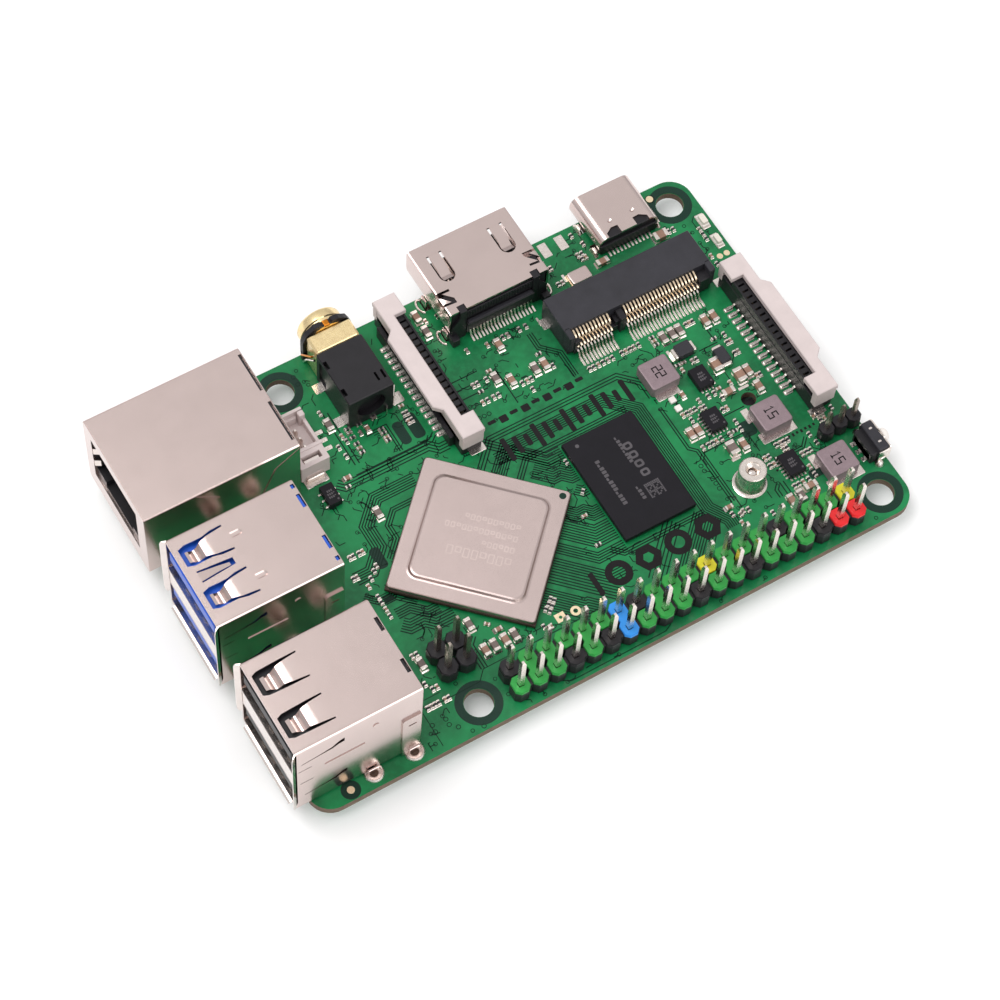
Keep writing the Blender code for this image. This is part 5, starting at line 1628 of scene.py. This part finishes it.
def build_resistors():
    mixed = ["resistor", "ceramic", "resistor", "resistor", "ceramic_dark"]
    top_edge = rows((46.6, 10.3, 11.1, 11.8, 12.4, 20.4), (46.4, 9.2), (45.2, 9.2), (48.4, 16.8),
                    (46.5, 19.2), (46.4, 19.9), (46.1, 21.3), (47.7, 20.9))
    button_side = rows((43.2, 7.8, 8.4, 9.0), (42.7, 6.5, 12.9, 13.5), (41.5, 10.2, 10.7, 12.9, 13.5),
                       (40.6, 9.5, 10.1, 10.6, 11.2), (40.3, 3.7, 4.3), (39.4, 2.1, 3.6, 4.2, 4.8),
                       (41.3, 6.7))
    middle = rows((36.4, 13.8, 15.4, 16.7, 17.4, 18.0, 18.6, 19.4), (35.2, 13.8), (33.0, 13.7, 14.3),
                  (31.2, 17.3, 17.9, 18.5, 19.1), (31.5, 13.4, 16.1, 16.6), (30.9, 7.3, 7.8),
                  (30.4, 13.9, 14.8, 16.2), (32.3, 18.5), (30.1, 11.3))
    place_parts("resistors_power", "tiny", mixed, top_edge + button_side + middle,
                [(14.6, 36.3), (13.1, 30.1)]).done()
    slot_side = rows((20.1, 10.6, 11.1, 11.6),
                     (19.7, 18.5, 19.2, 19.8, 20.4, 21.0, 22.4, 23.1, 23.8, 24.5, 25.2, 25.8))
    socket_side = rows((26.7, 7.9, 8.4), (24.9, 7.9, 8.4), (25.1, 13.2, 13.8), (23.7, 8.1), (25.6, 15.6))
    corner = column(2.2, 10.3, 9.5, 8.7) + column(3.1, 14.3, 12.9)
    corner += rows((7.0, 5.2, 5.9, 22.1, 22.7), (5.1, 17.4, 18.0), (4.4, 17.6, 18.2, 22.3, 22.8),
                   (3.2, 16.7), (1.4, 17.4))
    place_parts("resistors_slot", "tiny", mixed, slot_side + socket_side + corner,
                column(16.5, 20.8, 20.2, 19.6) + [(9.6, 23.6), (14.9, 24.7), (15.8, 24.7)]).done()
    video = rows((17.3, 33.0, 33.6, 34.3, 37.8, 38.5, 39.4, 40.1), (10.3, 29.6, 30.6, 32.3, 33.0, 35.3),
                 (14.6, 38.0, 39.3, 39.9), (3.5, 38.7, 40.4), (17.0, 29.6), (18.7, 33.6), (9.8, 38.0))
    place_parts("resistors_video", "tiny", mixed, video, [(30.3, 14.6), (37.1, 13.7), (39.5, 15.8)]).done()
    audio = rows((15.1, 49.1, 49.6), (13.9, 49.1, 49.6), (13.6, 55.6), (13.8, 57.7), (12.9, 57.9),
                 (15.6, 58.8), (14.1, 59.0), (8.7, 58.7))
    audio_across = column(53.1, 16.2, 15.7, 15.0, 14.4, 12.5)
    audio_across += column(56.8, 16.1, 15.4, 14.7, 13.7, 12.9, 12.3)
    audio_across += [(49.3, 12.7), (55.2, 12.4), (60.7, 19.5)]
    place_parts("resistors_audio", "tiny", mixed, audio, audio_across).done()
    usb_side = rows((50.2, 64.3, 64.8, 65.7, 66.2, 66.7, 67.2), (48.3, 64.8, 65.4), (43.4, 64.8, 65.4))
    usb_side += column(65.0, 37.4, 36.4, 35.3, 34.5)
    usb_side += rows((30.9, 65.9, 66.4), (28.2, 63.6, 64.1, 64.9, 65.4), (47.3, 65.9), (32.7, 65.3),
                     (31.9, 64.5), (31.2, 63.7), (30.7, 63.1))
    place_parts("resistors_usb", "tiny", mixed, usb_side).done()
    processor = place_parts("resistors_processor", "tiny", mixed, [(35.4, 29.7), (48.8, 48.2), (49.6, 47.8)],
                            [(38.0, 41.5), (37.4, 37.3)])
    slanted = [(46.7, 45.4), (47.3, 45.9), (47.9, 46.4), (47.0, 45.0), (47.6, 45.5), (48.2, 45.9),
               (35.8, 34.3)]
    for x, y in slanted:
        part(processor, "tiny", x, y, 45.0, "resistor")
    part(processor, "tiny", 55.4, 44.1, -45.0, "ceramic")
    processor.done()


# ---------------------------------------------------------------- underside
UNDER = Matrix.Translation((0, 0, BOARD_UNDERSIDE)) @ Matrix.Scale(-1, 4, (0, 0, 1))


def build_underside():
    """Card socket, flash chip, traces and small parts below the board; all of them are a guess."""
    chance = random.Random(11)
    art = Piece("underside_trace_gaps").paint(M["trace_gap"]).at(UNDER)
    bus(art, [(20.0, 16.0), (26.0, 22.0), (26.0, 40.0), (32.0, 46.0), (52.0, 46.0)], 6, 0.34)
    bus(art, [(17.0, 24.0), (24.0, 24.0), (30.0, 30.0), (44.0, 30.0), (50.0, 36.0)], 6, -0.34)
    bus(art, [(48.0, 14.0), (54.0, 20.0), (64.0, 20.0)], 5, 0.36)
    bus(art, [(60.0, 42.0), (54.0, 36.0), (54.0, 28.0), (64.0, 28.0)], 5, -0.36)
    for x, y, count in (((18.0, 42.0), (12.0, 48.0), 90), ((44.0, 64.0), (10.0, 46.0), 70),
                        ((2.0, 14.0), (8.0, 19.0), 24), ((6.0, 16.0), (37.0, 48.0), 30)):
        scribble(art, chance, x, y, count, 3.0)
    art.done()

    (x0, x1), (y0, y1), (low, _) = span("microsd_socket_shield")
    depth = BOARD_UNDERSIDE - low
    shell = Piece("card_socket_shell", "shell_metal", ["microsd_socket_shield"]).paint(M["shell"]).at(UNDER)
    holes = [rounded((x0 + 2.0, x0 + 6.2), (y0 + 2.2, y0 + 2.9), 0.3)[::-1],
             rounded((x0 + 2.0, x0 + 6.2), (y1 - 2.9, y1 - 2.2), 0.3)[::-1],
             rounded((x0 + 8.4, x0 + 11.6), (y0 + 4.6, y0 + 5.4), 0.3)[::-1],
             rounded((x0 + 8.4, x0 + 11.6), (y1 - 5.4, y1 - 4.6), 0.3)[::-1]]
    shell.plate(rounded((x0, x1), (y0, y1), 0.3), holes, (depth - 0.2, depth))
    for y in ((y0, y0 + 0.2), (y1 - 0.2, y1)):
        shell.block((x0 + 0.4, x1 - 0.4), y, (0.05, depth - 0.05), 0.05)
    shell.block((x1 - 0.2, x1), (y0 + 0.4, y1 - 0.4), (0.05, depth - 0.05), 0.05)
    for x, y in ((x0 + 1.2, y0), (x0 + 1.2, y1), (x1 - 1.2, y0), (x1 - 1.2, y1)):
        shell.paint(M["solder"]).slab(rounded(*around(x, y, 1.6, 1.0), 0.2), (SUNK, 0.12), 0.03)
    shell.done()
    tray = Piece("card_socket_body", "black_plastic", ["microsd_socket_body"]).paint(M["black"]).at(UNDER)
    tray.block((x0 + 0.3, x1 - 0.25), (y0 + 0.25, y1 - 0.25), (0.04, 0.65), 0.05)
    for y in ((y0 + 0.25, y0 + 1.2), (y1 - 1.2, y1 - 0.25)):
        tray.block((x0 + 0.3, x1 - 0.25), y, (0.04, depth - 0.22), 0.05)
    tray.block((x1 - 2.0, x1 - 0.25), (y0 + 0.3, y1 - 0.3), (0.04, depth - 0.22), 0.05)
    tray.paint(M["contact"])
    for n in range(8):
        tray.block((x0 + 4.0, x0 + 9.6), (y0 + 2.4 + n * 1.1, y0 + 2.9 + n * 1.1), (0.6, 0.8), 0.04)
        tray.block((x1 - 0.3, x1 + 0.5), (y0 + 2.4 + n * 1.1, y0 + 2.8 + n * 1.1), (SUNK, 0.14), 0.03)
    tray.done()

    (x0, x1), (y0, y1), (low, _) = span("flash_chip")
    depth = BOARD_UNDERSIDE - low
    flash = Piece("flash_package", "chip_plastic", ["flash_chip"]).paint(M["epoxy"]).at(UNDER)
    flash.slab(rectangle((x0, x1), (y0, y1), 0.1), (0.12, depth), 0.12)
    flash.paint(M["mark"]).slab(circle(x0 + 0.7, y0 + 0.7, 0.28, 14), (depth - 0.02, depth + 0.004))
    flash.paint(M["pin"])
    for side, edge in ((-1, y0), (1, y1)):
        for n in range(4):
            x = (x0 + x1) / 2 + (n - 1.5) * 1.1
            flash.at(UNDER @ axes((x + side * 0.2, edge, 0), (0, side, 0), (0, 0, 1)))
            flash.strip([(-0.15, 0.75), (0.3, 0.7), (0.5, 0.14), (1.0, 0.08)], 0.16, (0.0, 0.4))
    flash.done()

    spots = []
    for x, y, count in (((19.0, 36.0), (20.0, 44.0), 60), ((44.0, 64.0), (22.0, 44.0), 70),
                        ((3.0, 14.0), (9.0, 18.0), 16), ((7.0, 15.0), (38.0, 47.0), 16)):
        for _ in range(count):
            at = (round(chance.uniform(*x), 1), round(chance.uniform(*y), 1))
            if all(math.dist(at, other) > 1.5 for other in spots):
                spots.append(at)
    place_parts("underside_resistors", "tiny", ["resistor", "ceramic"], spots[::2], spots[1::2], UNDER).done()
    large = [(22.0, 12.0), (24.0, 12.0), (26.0, 12.0), (44.0, 18.0), (46.0, 18.0), (48.0, 18.0)]
    place_parts("underside_capacitors", "medium", ["ceramic"], large, (), UNDER).done()


dress("circuit_board", M["mask"])
build_traces()
build_lands()
build_ink()
build_usb("usb3", (22.7, 35.6), M["blue"], True)
build_usb("usb2", (40.7, 53.8), M["black"], False)
build_ethernet()
build_hdmi()
build_usbc()
build_audio()
build_gpio()
build_small_headers()
build_fan_header()
build_button()
build_flex("csi")
build_flex("dsi")
build_m2()
build_processor()
build_memory()
build_chips()
build_capacitors()
build_resistors()
build_underside()
build_stage()
